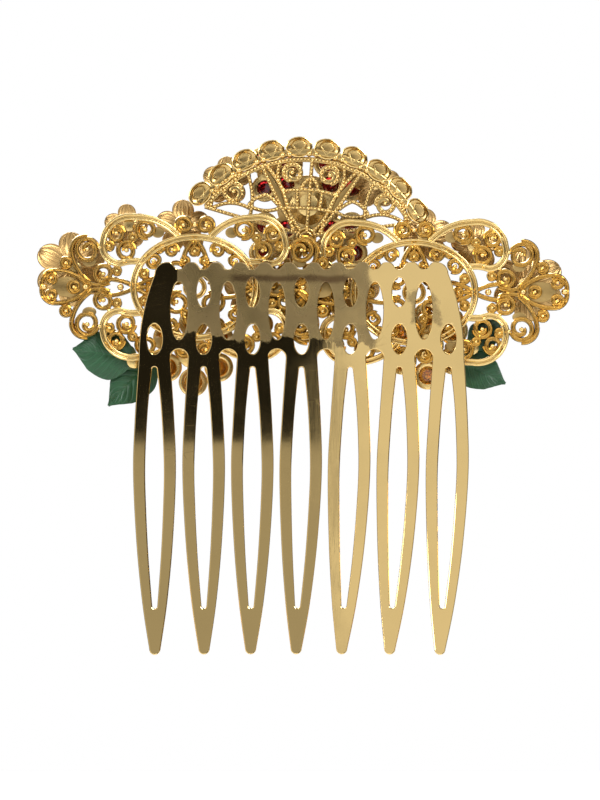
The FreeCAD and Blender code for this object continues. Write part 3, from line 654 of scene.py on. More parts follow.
# ---- materials -----------------------------------------------------------------------------
def new_material(name):
    """Empty material with a principled shader; returns it, its tree, the shader and the
    object coordinates."""
    material = bpy.data.materials.new(name)
    material.use_nodes = True
    tree = material.node_tree
    tree.nodes.clear()
    output = tree.nodes.new("ShaderNodeOutputMaterial")
    shader = tree.nodes.new("ShaderNodeBsdfPrincipled")
    tree.links.new(shader.outputs["BSDF"], output.inputs["Surface"])
    coordinates = tree.nodes.new("ShaderNodeTexCoord")
    return material, tree, shader, coordinates.outputs["Object"]


def use_group(tree, group, vector, **values):
    node = tree.nodes.new("ShaderNodeGroup")
    node.node_tree = group
    if vector is not None:
        tree.links.new(vector, node.inputs["Vector"])
    for key, value in values.items():
        node.inputs[key.replace("_", " ")].default_value = value
    return node


def blend_colour(tree, mask, first, second):
    """Mix of two colours; each is a colour or a socket."""
    node = tree.nodes.new("ShaderNodeMix")
    node.data_type = "RGBA"
    tree.links.new(mask, node.inputs[0])
    for index, colour in ((6, first), (7, second)):
        if hasattr(colour, "links"):
            tree.links.new(colour, node.inputs[index])
        else:
            node.inputs[index].default_value = colour
    return node.outputs[2]


def bump(tree, shader, height, strength, distance):
    node = add_node(tree, "ShaderNodeBump", Strength=strength, Distance=distance)
    tree.links.new(height, node.inputs["Height"])
    tree.links.new(node.outputs["Normal"], shader.inputs["Normal"])


def shade(colour, share):
    return tuple(channel * share for channel in colour[:3]) + (1.0,)


def gold_material(name, colour, roughness, recess=1.0, cloud=0.35):
    """Plated metal: bright on its ridges, dull in its grooves and darkened there by painted shade
    and brown patina, with fine specks.
    """
    if name in bpy.data.materials:
        return bpy.data.materials[name]
    material, tree, shader, vector = new_material(name)
    dark = settings().finish.recess_shade_and_patina
    plating = use_group(tree, tarnish_group(), vector)
    marks = use_group(tree, scratch_group(), vector, Grain_Scale=1400.0, Scratch_Scale=500.0)
    attribute = add_node(tree, "ShaderNodeAttribute", attribute_name="recess")
    # painted shade and patina: the recess attribute darkens the grooves towards the recess colour
    groove = math_node(tree, "MULTIPLY", attribute.outputs["Fac"], recess)
    clouds = math_node(tree, "MULTIPLY", plating.outputs["Cloud"], cloud)
    worn = blend_colour(tree, clouds, tuple(colour), shade(colour, 0.55))
    specked = blend_colour(tree, math_node(tree, "MULTIPLY", plating.outputs["Speck"], 0.35),
                           worn, shade(colour, 0.3))
    tree.links.new(blend_colour(tree, groove, specked, tuple(dark)), shader.inputs["Base Color"])
    rough = math_node(tree, "MULTIPLY_ADD", groove, 0.22, roughness)
    dull = math_node(tree, "MULTIPLY_ADD", clouds, 0.2, rough)
    tree.links.new(dull, shader.inputs["Roughness"])
    shader.inputs["Metallic"].default_value = 1.0
    height = math_node(tree, "MULTIPLY_ADD", plating.outputs["Speck"], -0.6, marks.outputs["Grain"])
    bump(tree, shader, height, 0.25, 0.00006)
    return material


def plate_material():
    """Polished sheet with long grain, hair scratches and the dull film left by soldering."""
    finish = settings().finish
    material, tree, shader, vector = new_material("Polished comb gold")
    marks = use_group(tree, scratch_group(), vector, Grain_Scale=1300.0, Scratch_Scale=230.0)
    plating = use_group(tree, tarnish_group(), vector, Cloud_Scale=70.0, Speck_Scale=2600.0)
    split = add_node(tree, "ShaderNodeSeparateXYZ")
    tree.links.new(vector, split.inputs[0])
    ragged = add_node(tree, "ShaderNodeTexNoise", Scale=520.0, Detail=5.0, Roughness=0.7)
    tree.links.new(vector, ragged.inputs["Vector"])
    broad = add_node(tree, "ShaderNodeTexNoise", Scale=130.0, Detail=2.0)
    tree.links.new(vector, broad.inputs["Vector"])
    wander = math_node(tree, "MULTIPLY_ADD", broad.outputs["Fac"], 0.006, -0.003)
    fray = math_node(tree, "MULTIPLY_ADD", ragged.outputs["Fac"], 0.0032, wander)
    # lower edge of the film, which falls towards -X
    edge = math_node(tree, "MULTIPLY_ADD", split.outputs["X"], -0.09, split.outputs["Z"])
    height = math_node(tree, "ADD", edge, fray)
    low = ramp(tree, height, 0.0035, 0.0041)
    side = math_node(tree, "ADD", split.outputs["X"], fray)
    right = ramp(tree, side, -0.0135, -0.0115)
    left = ramp(tree, split.outputs["X"], 0.0247, 0.0250, 1.0, 0.0)
    film = math_node(tree, "MULTIPLY", math_node(tree, "MULTIPLY", low, right), left)
    thin = ramp(tree, broad.outputs["Fac"], 0.30, 0.62, 0.66, 1.0)
    film = math_node(tree, "MULTIPLY", film, thin)
    # small smear beyond the film's end
    smear_x = ramp(tree, math_node(tree, "ABSOLUTE", math_node(tree, "ADD", side, 0.0225)),
                   0.0022, 0.0034, 1.0, 0.0)
    smear_z = ramp(tree, math_node(tree, "ABSOLUTE", math_node(
        tree, "ADD", math_node(tree, "ADD", split.outputs["Z"], fray), -0.0105)),
        0.0022, 0.0032, 1.0, 0.0)
    smear = math_node(tree, "MULTIPLY", math_node(tree, "MULTIPLY", smear_x, smear_z), 0.75)
    film = math_node(tree, "MAXIMUM", film, smear)
    # brown line where the panel's edge was heated
    heated = math_node(tree, "MULTIPLY_ADD", fray, 0.25, split.outputs["Z"])
    line = ramp(tree, math_node(tree, "ABSOLUTE", math_node(tree, "SUBTRACT", heated, 0.0151)),
                0.0002, 0.0011, 1.0, 0.0)
    span = math_node(tree, "MULTIPLY", ramp(tree, split.outputs["X"], -0.0105, -0.0090),
                     ramp(tree, split.outputs["X"], 0.0130, 0.0150, 1.0, 0.0))
    burnt = math_node(tree, "MULTIPLY", line, span)
    gold = blend_colour(tree, math_node(tree, "MULTIPLY", plating.outputs["Cloud"], 0.22),
                        tuple(finish.polished_gold), shade(finish.polished_gold, 0.78))
    scratched = blend_colour(tree, math_node(tree, "MULTIPLY", marks.outputs["Scratch"], 0.25),
                             gold, (0.62, 0.42, 0.16, 1.0))
    dull = blend_colour(tree, plating.outputs["Speck"], tuple(finish.flux_stain),
                        shade(finish.flux_stain, 0.62))
    stained = blend_colour(tree, film, scratched, dull)
    tree.links.new(blend_colour(tree, math_node(tree, "MULTIPLY", burnt, 0.75), stained,
                                (0.10, 0.052, 0.022, 1.0)), shader.inputs["Base Color"])
    base_rough = math_node(tree, "MULTIPLY_ADD", plating.outputs["Cloud"], 0.05, 0.05)
    scuffed = math_node(tree, "MULTIPLY_ADD", marks.outputs["Scratch"], 0.08, base_rough)
    rough = math_node(tree, "MULTIPLY_ADD", film, 0.24, scuffed)
    tree.links.new(rough, shader.inputs["Roughness"])
    metal = math_node(tree, "MULTIPLY_ADD", film, -0.15, 1.0)
    tree.links.new(metal, shader.inputs["Metallic"])
    relief = math_node(tree, "MULTIPLY_ADD", marks.outputs["Scratch"], -0.5, marks.outputs["Grain"])
    gritty = math_node(tree, "MULTIPLY", film, ragged.outputs["Fac"])
    rubbed = math_node(tree, "MULTIPLY_ADD", gritty, 1.5, relief)
    bump(tree, shader, rubbed, 0.10, 0.00003)
    return material


def solder_material():
    material, tree, shader, vector = new_material("Grey solder")
    plating = use_group(tree, tarnish_group(), vector, Cloud_Scale=500.0, Speck_Scale=2500.0)
    tree.links.new(blend_colour(tree, plating.outputs["Cloud"], (0.42, 0.37, 0.30, 1.0),
                                (0.20, 0.15, 0.10, 1.0)), shader.inputs["Base Color"])
    tree.links.new(ramp(tree, plating.outputs["Speck"], 0.0, 1.0, 0.35, 0.6),
                   shader.inputs["Roughness"])
    shader.inputs["Metallic"].default_value = 0.9
    bump(tree, shader, plating.outputs["Cloud"], 0.4, 0.0001)
    return material


def crystal_material(name, colour, transmission=0.82):
    """Cut glass, a little cloudy inside, with fine specks that roughen its facets."""
    material, tree, shader, vector = new_material(name)
    plating = use_group(tree, tarnish_group(), vector, Cloud_Scale=420.0, Speck_Scale=2400.0)
    tree.links.new(blend_colour(tree, plating.outputs["Cloud"], tuple(colour),
                                shade(colour, 0.6)), shader.inputs["Base Color"])
    tree.links.new(ramp(tree, plating.outputs["Speck"], 0.0, 1.0, 0.03, 0.16),
                   shader.inputs["Roughness"])
    shader.inputs["Transmission Weight"].default_value = transmission
    shader.inputs["IOR"].default_value = 1.56
    shader.inputs["Coat Weight"].default_value = 0.5
    bump(tree, shader, plating.outputs["Speck"], 0.05, 0.00004)
    return material


def leaf_material():
    """Green enamel with a paler midrib and fine feathered veins."""
    finish = settings().finish
    material, tree, shader, vector = new_material("Leaf enamel")
    texture = tree.nodes.new("ShaderNodeUVMap")
    texture.uv_map = "leaf"
    split = add_node(tree, "ShaderNodeSeparateXYZ")
    tree.links.new(texture.outputs["UV"], split.inputs[0])
    across = math_node(tree, "ABSOLUTE", math_node(tree, "SUBTRACT", split.outputs["X"], 0.5))
    slant = math_node(tree, "MULTIPLY_ADD", across, -0.55, split.outputs["Y"])
    wobble = add_node(tree, "ShaderNodeTexNoise", Scale=350.0, Detail=3.0)
    tree.links.new(vector, wobble.inputs["Vector"])
    uneven = math_node(tree, "MULTIPLY_ADD", wobble.outputs["Fac"], 0.05, slant)
    wave = math_node(tree, "SINE", math_node(tree, "MULTIPLY", uneven, 62.0))
    veins = ramp(tree, wave, 0.35, 1.0)
    fine = math_node(tree, "SINE", math_node(tree, "MULTIPLY", uneven, 310.0))
    rib = ramp(tree, across, 0.0, 0.035, 1.0, 0.0)
    plating = use_group(tree, tarnish_group(), vector, Cloud_Scale=260.0, Speck_Scale=1600.0)
    colour = blend_colour(tree, plating.outputs["Cloud"], tuple(finish.leaf_green),
                          (0.012, 0.078, 0.025, 1.0))
    veined = blend_colour(tree, math_node(tree, "MULTIPLY", veins, 0.35), colour,
                          (0.022, 0.11, 0.046, 1.0))
    ribbed = blend_colour(tree, math_node(tree, "MULTIPLY", rib, 0.6), veined,
                          (0.024, 0.11, 0.042, 1.0))
    base = ramp(tree, split.outputs["Y"], 0.0, 0.14, 1.0, 0.0)
    tree.links.new(blend_colour(tree, math_node(tree, "MULTIPLY", base, 0.5), ribbed,
                                (0.30, 0.22, 0.03, 1.0)), shader.inputs["Base Color"])
    tree.links.new(ramp(tree, plating.outputs["Cloud"], 0.0, 1.0, 0.32, 0.5),
                   shader.inputs["Roughness"])
    shader.inputs["Coat Weight"].default_value = 0.12
    shader.inputs["Coat Roughness"].default_value = 0.2
    relief = math_node(tree, "MULTIPLY_ADD", fine, 0.12, veins)
    bump(tree, shader, relief, 0.5, 0.00012)
    return material


def petal_material():
    """Satin flower stamping: fine lines run along each petal, with painted shade and patina in the
    flutes, towards the root and in the troughs of the lines.
    """
    name = "Satin flower gold"
    if name in bpy.data.materials:
        return bpy.data.materials[name]
    finish = settings().finish
    material, tree, shader, vector = new_material(name)
    texture = tree.nodes.new("ShaderNodeUVMap")
    texture.uv_map = "petal"
    split = add_node(tree, "ShaderNodeSeparateXYZ")
    tree.links.new(texture.outputs["UV"], split.inputs[0])
    wobble = add_node(tree, "ShaderNodeTexNoise", Scale=700.0, Detail=3.0)
    tree.links.new(vector, wobble.inputs["Vector"])
    across = math_node(tree, "MULTIPLY_ADD", wobble.outputs["Fac"], 0.035, split.outputs["X"])
    lines = math_node(tree, "SINE", math_node(tree, "MULTIPLY", across, 110.0))
    # painted shade and patina in the troughs of the satin lines
    groove = ramp(tree, lines, -1.0, 0.2, 1.0, 0.0)
    plating = use_group(tree, tarnish_group(), vector, Cloud_Scale=220.0)
    attribute = add_node(tree, "ShaderNodeAttribute", attribute_name="recess")
    worn = blend_colour(tree, math_node(tree, "MULTIPLY", plating.outputs["Cloud"], 0.5),
                        tuple(finish.satin_gold), shade(finish.satin_gold, 0.5))
    # painted shade and patina in the flutes and towards the root
    fluted = blend_colour(tree, math_node(tree, "MULTIPLY", attribute.outputs["Fac"], 0.6), worn,
                          tuple(finish.recess_shade_and_patina))
    tree.links.new(blend_colour(tree, math_node(tree, "MULTIPLY", groove, 0.35), fluted,
                                tuple(finish.recess_shade_and_patina)), shader.inputs["Base Color"])
    tree.links.new(ramp(tree, plating.outputs["Cloud"], 0.0, 1.0, 0.26, 0.42),
                   shader.inputs["Roughness"])
    shader.inputs["Metallic"].default_value = 1.0
    bump(tree, shader, lines, 0.35, 0.00006)
    return material


def floor_material():
    material, tree, shader, vector = new_material("Pale floor")
    noise = add_node(tree, "ShaderNodeTexNoise", Scale=60.0, Detail=4.0)
    tree.links.new(vector, noise.inputs["Vector"])
    tree.links.new(blend_colour(tree, noise.outputs["Fac"], (0.93, 0.93, 0.92, 1.0),
                                (0.96, 0.96, 0.96, 1.0)), shader.inputs["Base Color"])
    shader.inputs["Roughness"].default_value = 0.9
    return material


# ---- comb plate ----------------------------------------------------------------------------
BOW_START = 2.0              # mm: height at which the bow towards the head begins
GAP_HEAD_RADIUS = 1.75
GAP_HEAD_Z = -1.2
TIP_RADIUS = 1.1
SPINE_TOP = 18.0
SPINE_BULGE = 2.4            # how far each end of the spine swells past the top edge's end
SPINE_CORNER = 2.4
SCALLOP_DEPTH = 1.4
SCALLOP_SPREAD = 1.2
SCALLOP_COUNT = 11
LONG_WINDOW = (1.7, 5.75, 8.3)      # half width, half height and centre height, in mm
UPPER_WINDOW = (1.4, 2.95, 12.0)
LOWER_WINDOW = (1.5, 3.0, 2.6)
TIP_LEANS = (2.1, 2.2, 1.9, 1.1, 0.3, -0.3, -0.4)
SHEET_CELL = 2.0             # mm: distance between the cuts that let the sheet bend


def tooth_places():
    plate = settings().plate
    middle = (plate.tooth_count - 1) / 2
    return [(index - middle) * plate.tooth_pitch / MM for index in range(plate.tooth_count)]


def tooth_side(halves, x, lean, sign):
    """One side of a tooth or of its opening, from the top down."""
    length = settings().plate.tooth_length / MM
    side = smooth_through(halves)
    return [(x + sign * half + lean * (min(z, 0) / length) ** 2, z) for half, z in side]


def tooth_outline(x, lean):
    """Down one side of a tooth, round its tip and up the other side."""
    length = settings().plate.tooth_length / MM
    pitch = settings().plate.tooth_pitch / MM
    root = pitch / 2 - GAP_HEAD_RADIUS
    belly = (pitch - 1.3) / 2
    halves = [(root, GAP_HEAD_Z), (belly * 0.92, -0.22 * length), (belly, -0.4 * length),
              (belly * 0.85, -0.63 * length), (belly * 0.58, -0.83 * length),
              (TIP_RADIUS, TIP_RADIUS - length)]
    left = tooth_side(halves, x, lean, -1)
    right = tooth_side(halves, x, lean, 1)
    return left + arc(left[-1], (x + lean, -length), right[-1], 10)[1:-1] + right[::-1]


def slot_outline(x, lean):
    """Long opening inside a tooth."""
    length = settings().plate.tooth_length / MM
    pitch = settings().plate.tooth_pitch / MM
    top, bottom, end = -3.0, 9.0 - length, 0.5
    belly = (pitch - 6.1) / 2
    span = top - bottom
    halves = [(end, top - end), (belly * 0.72, top - 0.18 * span), (belly, top - 0.4 * span),
              (belly * 0.92, top - 0.58 * span), (belly * 0.66, top - 0.79 * span),
              (end, bottom + end)]
    left = tooth_side(halves, x, lean, -1)
    right = tooth_side(halves, x, lean, 1)
    low = (x + lean * (bottom / length) ** 2, bottom)
    head = (x + lean * (top / length) ** 2, top)
    return (left + arc(left[-1], low, right[-1], 6)[1:-1] + right[::-1]
            + arc(right[0], head, left[0], 6)[1:-1])


def top_edge(x):
    """Height of the scalloped edge at a distance along it."""
    half_pitch = settings().plate.tooth_pitch / MM / 2
    nearest = round(x / half_pitch)
    if abs(nearest) > (SCALLOP_COUNT - 1) / 2:
        return SPINE_TOP
    distance = x - nearest * half_pitch
    return SPINE_TOP - SCALLOP_DEPTH * math.exp(-abs(distance / SCALLOP_SPREAD) ** 3)


def plate_outline():
    """The whole outline: teeth from -X to +X, then back along the scalloped edge."""
    places = tooth_places()
    pitch = settings().plate.tooth_pitch / MM
    root = pitch / 2 - GAP_HEAD_RADIUS
    outline = []
    for index, (x, lean) in enumerate(zip(places, TIP_LEANS)):
        outline += tooth_outline(x, lean)
        if index < len(places) - 1:
            gap = x + pitch / 2
            outline += arc((x + root, GAP_HEAD_Z), (gap, GAP_HEAD_Z + GAP_HEAD_RADIUS),
                           (x + pitch - root, GAP_HEAD_Z), 14)[1:-1]
    foot = places[-1] + root
    top_half = places[-1]
    shoulder = SPINE_TOP - SPINE_CORNER
    middle = (top_half + SPINE_BULGE, (shoulder + GAP_HEAD_Z) / 2)
    bulge = SPINE_CORNER * (1 - math.sqrt(0.5))
    side = arc((foot, GAP_HEAD_Z), middle, (top_half, shoulder), 14)[1:]
    corner = arc((top_half, shoulder), (top_half - bulge, SPINE_TOP - bulge),
                 (top_half - SPINE_CORNER, SPINE_TOP), 6)[1:]
    steps = 260
    span = top_half - SPINE_CORNER
    top = [(span - 2 * span * i / steps, top_edge(span - 2 * span * i / steps))
           for i in range(1, steps)]
    far = [(-x, z) for x, z in reversed(side + corner)]
    return outline + side + corner + top + far


def cut_in_cells(piece, cell, low, high):
    """Cut the sheet by a grid of planes, so that it can follow a bend."""
    choose(piece)
    bpy.ops.object.mode_set(mode="EDIT")
    for axis in (0, 1):
        normal = [0.0, 0.0, 0.0]
        normal[axis] = 1.0
        place = low[axis] + cell
        while place < high[axis]:
            bpy.ops.mesh.select_all(action="SELECT")
            position = [0.0, 0.0, 0.0]
            position[axis] = place
            bpy.ops.mesh.bisect(plane_co=position, plane_no=normal)
            place += cell
    bpy.ops.object.mode_set(mode="OBJECT")


class HAIRCOMB_OT_plate(bpy.types.Operator):
    """Build the polished comb plate with its seven looped teeth"""
    bl_idname = "hair_comb.plate"
    bl_label = "Comb plate"

    def execute(self, context):
        plate = settings().plate
        places = tooth_places()
        half_pitch = plate.tooth_pitch / MM / 2
        loops = [plate_outline()]
        loops += [slot_outline(x, lean) for x, lean in zip(places, TIP_LEANS)]
        loops += [oval(x + half_pitch, LONG_WINDOW[2], *LONG_WINDOW[:2]) for x in places[:-1]]
        loops += [oval(x, LOWER_WINDOW[2], *LOWER_WINDOW[:2]) for x in places]
        loops += [oval(x, UPPER_WINDOW[2], *UPPER_WINDOW[:2]) for x in places[1:-1]]
        piece = sheet("comb_plate_sheet", loops, plate.thickness, plate.edge)
        xs = [vertex.co.x for vertex in piece.data.vertices]
        zs = [vertex.co.y for vertex in piece.data.vertices]
        cut_in_cells(piece, SHEET_CELL * MM, (min(xs), min(zs)), (max(xs), max(zs)))
        for vertex in piece.data.vertices:
            x, z, depth = vertex.co
            radius = plate.head_radius - plate.thickness + depth
            fall = max(0.0, BOW_START * MM - z)
            y = plate.head_radius - math.sqrt(radius ** 2 - x * x - fall * fall)
            vertex.co = (x, y, z)
        smooth(piece, 12)
        finish_piece(piece, plate_material(), "comb_gold", "comb_plate")
        return {"FINISHED"}


# ---- filigree panels ------------------------------------------------------------------------
HOOP = (12.2, 10.1)
LOBE = ((-3.2, 10.2), (-7.4, 13.2), (-11.6, 14.0), (-16.4, 12.7), (-18.2, 9.2),
        (-17.6, 6.0), (-14.9, 4.7), (-12.6, 5.2), (-10.6, 5.0))
QUARTER_SCROLLS = ((-2.3, 12.5, 1.9), (-15.6, 10.8, 2.0), (-9.9, 11.5, 2.2), (-13.6, 7.4, 2.15),
                   (-18.2, 2.6, 2.15), (-21.4, 7.5, 2.6), (-25.6, 4.8, 1.4), (-28.5, 1.8, 1.45),
                   (-8.2, 5.2, 1.7), (-4.5, 7.6, 1.6), (-3.7, 2.9, 2.5), (-10.1, 2.7, 1.2),
                   (-7.0, 7.7, 1.1), (-1.9, 5.3, 1.1), (-15.5, 3.2, 1.1), (-17.0, 8.2, 1.2),
                   (-12.4, 9.9, 1.1))
QUARTER_LINKS = (((-12.4, 0.3), (-14.5, 1.2), (-16.8, 1.6)),
                 ((-17.0, 0.9), (-19.2, 0.4), (-21.4, 1.0)),
                 ((-20.8, 0.0), (-24.2, 2.6), (-28.5, 3.2)),
                 ((-20.8, 1.0), (-23.4, 3.8), (-24.5, 7.0)),
                 ((-24.5, 7.0), (-23.8, 9.2), (-21.4, 10.1)),
                 ((-28.5, 3.2), (-30.0, 2.0), (-30.3, 0.0)),
                 ((-2.4, 4.9), (-1.5, 7.8), (0.0, 9.8)),
                 ((-5.9, 2.0), (-9.2, 1.5), (-11.9, 0.0)))
QUARTER_GRAINS = ((-18.9, 7.9), (-14.0, 5.3), (-17.0, 4.7))
QUARTER_GRAIN_SIZE = 0.9     # sizes of the grains, as shares of a scroll's bead
END_GRAIN_SIZE = 1.25
# small filled webs: place, then half length and half height
WEBS = ((-25.0, 0.0, 3.4, 2.1), (25.0, 0.0, 3.4, 2.1))
QUARTER_WEBS = ((-7.4, 11.0, 1.3, 1.1), (-21.0, 5.0, 1.4, 1.0))
END_SCROLLS = ((-24.0, 0.0, 1.5), (-8.8, 0.0, 1.25))
END_GRAINS = ((-21.7, 0.0), (-29.9, 0.0), (-14.8, 0.0))


def scroll_runs(scrolls, across_x, across_z):
    """Spirals for a list of scrolls with their mirror images, and the beads at their hearts."""
    half_wire = settings().filigree.wire_width / MM / 2
    heart = settings().filigree.bead_radius / MM
    runs = []
    beads = []
    for index, (x, z, radius) in enumerate(scrolls):
        reach = radius - half_wire
        start = math.atan2(-z, -x) + (0.6 if index % 2 else -0.4)
        hand = 1 if index % 2 else -1
        runs.append(spiral(x, z, reach, heart * 0.75, start, 1.5 if radius > 1.8 else 1.2, hand))
        size = 0.9 if radius > 1.6 else 0.75
        beads.append((x, z, size))
    spots = []
    for x, z, size in beads:
        for mirror_x in ((1, -1) if across_x else (1,)):
            for mirror_z in ((1, -1) if across_z else (1,)):
                spots.append((mirror_x * x, mirror_z * z, size))
    return flipped(runs, across_x, across_z), spots


def panel(side):
    """One filigree stamping, its grooves towards the head."""
    sizes = settings().filigree
    node = "filigree_panel_" + side
    middle = centre_of(node)
    band_section = full_section(HALF_GROOVED, HALF_FRONT)
    wire_section = full_section(HALF_GROOVED[::2] + HALF_GROOVED[-1:], HALF_FRONT[::2])
    scrolls, beads = scroll_runs(QUARTER_SCROLLS, True, True)
    more_scrolls, more_beads = scroll_runs(END_SCROLLS, True, False)
    mid_scrolls, mid_beads = scroll_runs(((0.0, 7.2, 1.25),), False, True)
    links = [arc(*link) for link in QUARTER_LINKS]
    spokes = [arc((0, 8.2), (0, 9.2), (0, 10.1), 4)]
    ends = [arc((-9.8, 0), (-11.0, 0), (-12.2, 0), 4)]
    wire_runs = scrolls + more_scrolls + mid_scrolls + flipped(links, True, True)
    wire_runs += flipped(spokes, False, True) + flipped(ends, True, False)
    parts = [
        wires("hoop", [oval(0, 0, *HOOP, 96)], True, sizes.band_width, sizes.depth,
              band_section),
        wires("heart_ring", [circle(0, 0, 1.9)], True, sizes.wire_width, sizes.depth,
              band_section),
        wires("lobes", flipped([arcs(LOBE)], True, True), False, sizes.band_width, sizes.depth,
              band_section),
        wires("scrolls", wire_runs, False, sizes.wire_width, sizes.depth * 0.94, wire_section),
    ]
    webs = [oval(*web, 24) for web in WEBS]
    webs += flipped([oval(*web, 24) for web in QUARTER_WEBS], True, True)
    parts.append(sheet("webs", webs, sizes.depth * 0.3, 0.0001))
    for vertex in parts[-1].data.vertices:
        vertex.co.z += sizes.depth * 0.5
    # recess mask for the painted shade and patina in the grooves of the wires
    for part in parts:
        mark_recess(part, 0.12, 0.55, sizes.depth)
    spots = beads + more_beads + mid_beads
    knots = [(sx * x, sz * z, QUARTER_GRAIN_SIZE)
             for x, z in QUARTER_GRAINS for sx in (1, -1) for sz in (1, -1)]
    knots += [(sx * x, z, END_GRAIN_SIZE) for x, z in END_GRAINS for sx in (1, -1)]
    knots += [(0, sz * 12.5, 1.0) for sz in (1, -1)]
    parts.append(grains("beads", spots + knots, sizes.bead_radius, sizes.depth * 0.36))
    piece = joined(parts, "filigree_wires_" + side)
    for vertex in piece.data.vertices:
        vertex.co.x += middle.x
        vertex.co.y += middle.z
    lay_on_layer(piece, back_of_panel(node))
    smooth(piece, 60)
    material = gold_material("Filigree gold", settings().finish.filigree_gold, 0.17, 0.72)
    finish_piece(piece, material, "filigree_gold", node)


def back_of_panel(node):
    """Radius of a layer's back: its lowest point lies where the layer crosses the middle."""
    low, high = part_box(node)
    head = settings().plate.head_radius
    nearest = 0.0 if low.x < 0.0 < high.x else min(abs(low.x), abs(high.x))
    front = math.hypot(head - low.y, nearest)
    return front - settings().filigree.depth


class HAIRCOMB_OT_panels(bpy.types.Operator):
    """Build the two filigree panels from grooved bands, scrolls and beads"""
    bl_idname = "hair_comb.panels"
    bl_label = "Filigree panels"

    def execute(self, context):
        for side in SIDES:
            panel(side)
        return {"FINISHED"}


# ---- filigree fan --------------------------------------------------------------------------
FAN_TILT = 4.5
FAN_ARC = 24.6
FAN_HALF_ANGLE = 57.0
FAN_BASE = (8.74, 1.55)      # height and radius of the base ring's centre line
FAN_FOOT = 14.3              # mm: height of the fan's centre
FAN_FOOT_X = -0.24
DOME_COUNT = 10
DOME_PITCH = 12.0
DOME_CIRCLE = 27.1
DOME_RADIUS = 2.1
DOME_SPREAD = 1.3            # width of a dome along the arch, as a share of its height
FAN_RIBS = (((-1.4, 10.3), (-4.2, 14.6), (-5.3, 18.2)), ((-5.3, 18.0), (-6.6, 20.6), (-6.4, 23.6)),
            ((-2.2, 14.6), (-2.4, 16.4), (-2.5, 18.3)), ((0.0, 20.9), (-1.0, 20.1), (-1.7, 18.4)),
            ((-1.6, 9.6), (-11.0, 11.4), (-20.8, 13.4)),
            ((-19.6, 13.2), (-18.4, 17.6), (-12.6, 20.6)),
            ((-19.4, 13.2), (-15.6, 14.6), (-11.8, 13.8)),
            ((-12.8, 20.8), (-11.6, 17.2), (-11.8, 11.6)),
            ((-12.0, 14.6), (-10.6, 16.0), (-8.8, 16.8)),
            ((-8.9, 16.9), (-7.6, 16.2), (-6.2, 15.0)),
            ((-12.0, 14.4), (-9.0, 13.6), (-5.4, 14.6)),
            ((-3.0, 10.3), (-4.9, 16.8), (-9.3, 22.9)),
            ((-2.6, 10.3), (-6.3, 16.0), (-9.9, 22.5)))
FAN_SCROLLS = ((-3.8, 21.7, 2.2), (-15.3, 16.9, 2.3))
FAN_DIAMOND = ((-4.3, 13.6), (-6.6, 17.0), (-9.5, 22.4), (-5.9, 18.0))


def along(run, pitch):
    """Places at even distances along a run of points."""
    places = []
    left = 0.0
    for (x1, z1), (x2, z2) in zip(run, run[1:]):
        length = math.hypot(x2 - x1, z2 - z1)
        travel = left
        while travel < length:
            share = travel / length
            places.append((x1 + (x2 - x1) * share, z1 + (z2 - z1) * share, 1.0))
            travel += pitch
        left = travel - length
    return places


def dome_cups(places, radius, depth):
    """Hollow half-round cups, open towards the head; the folded ridges are wires of their own."""
    choose()
    bpy.ops.mesh.primitive_uv_sphere_add(segments=20, ring_count=10, radius=1.0)
    cup = fresh()
    bpy.ops.object.mode_set(mode="EDIT")
    bpy.ops.mesh.select_all(action="SELECT")
    bpy.ops.mesh.bisect(plane_co=(0, 0, 0.02), plane_no=(0, 0, 1), clear_inner=True)
    bpy.ops.object.mode_set(mode="OBJECT")
    cup.data.transform(Matrix.Diagonal((radius * DOME_SPREAD, radius, depth, 1.0)))
    apply_modifier(cup, "SOLIDIFY", thickness=0.00022, offset=-1.0)
    copies = []
    for x, z, turn in places:
        twin = copy_of(cup, "cup")
        twin.data.transform(Matrix.Rotation(math.radians(-turn), 4, "Z"))
        twin.data.transform(Matrix.Translation((x * MM, z * MM, 0.0)))
        copies.append(twin)
    bpy.data.objects.remove(cup)
    return joined(copies, "domes")


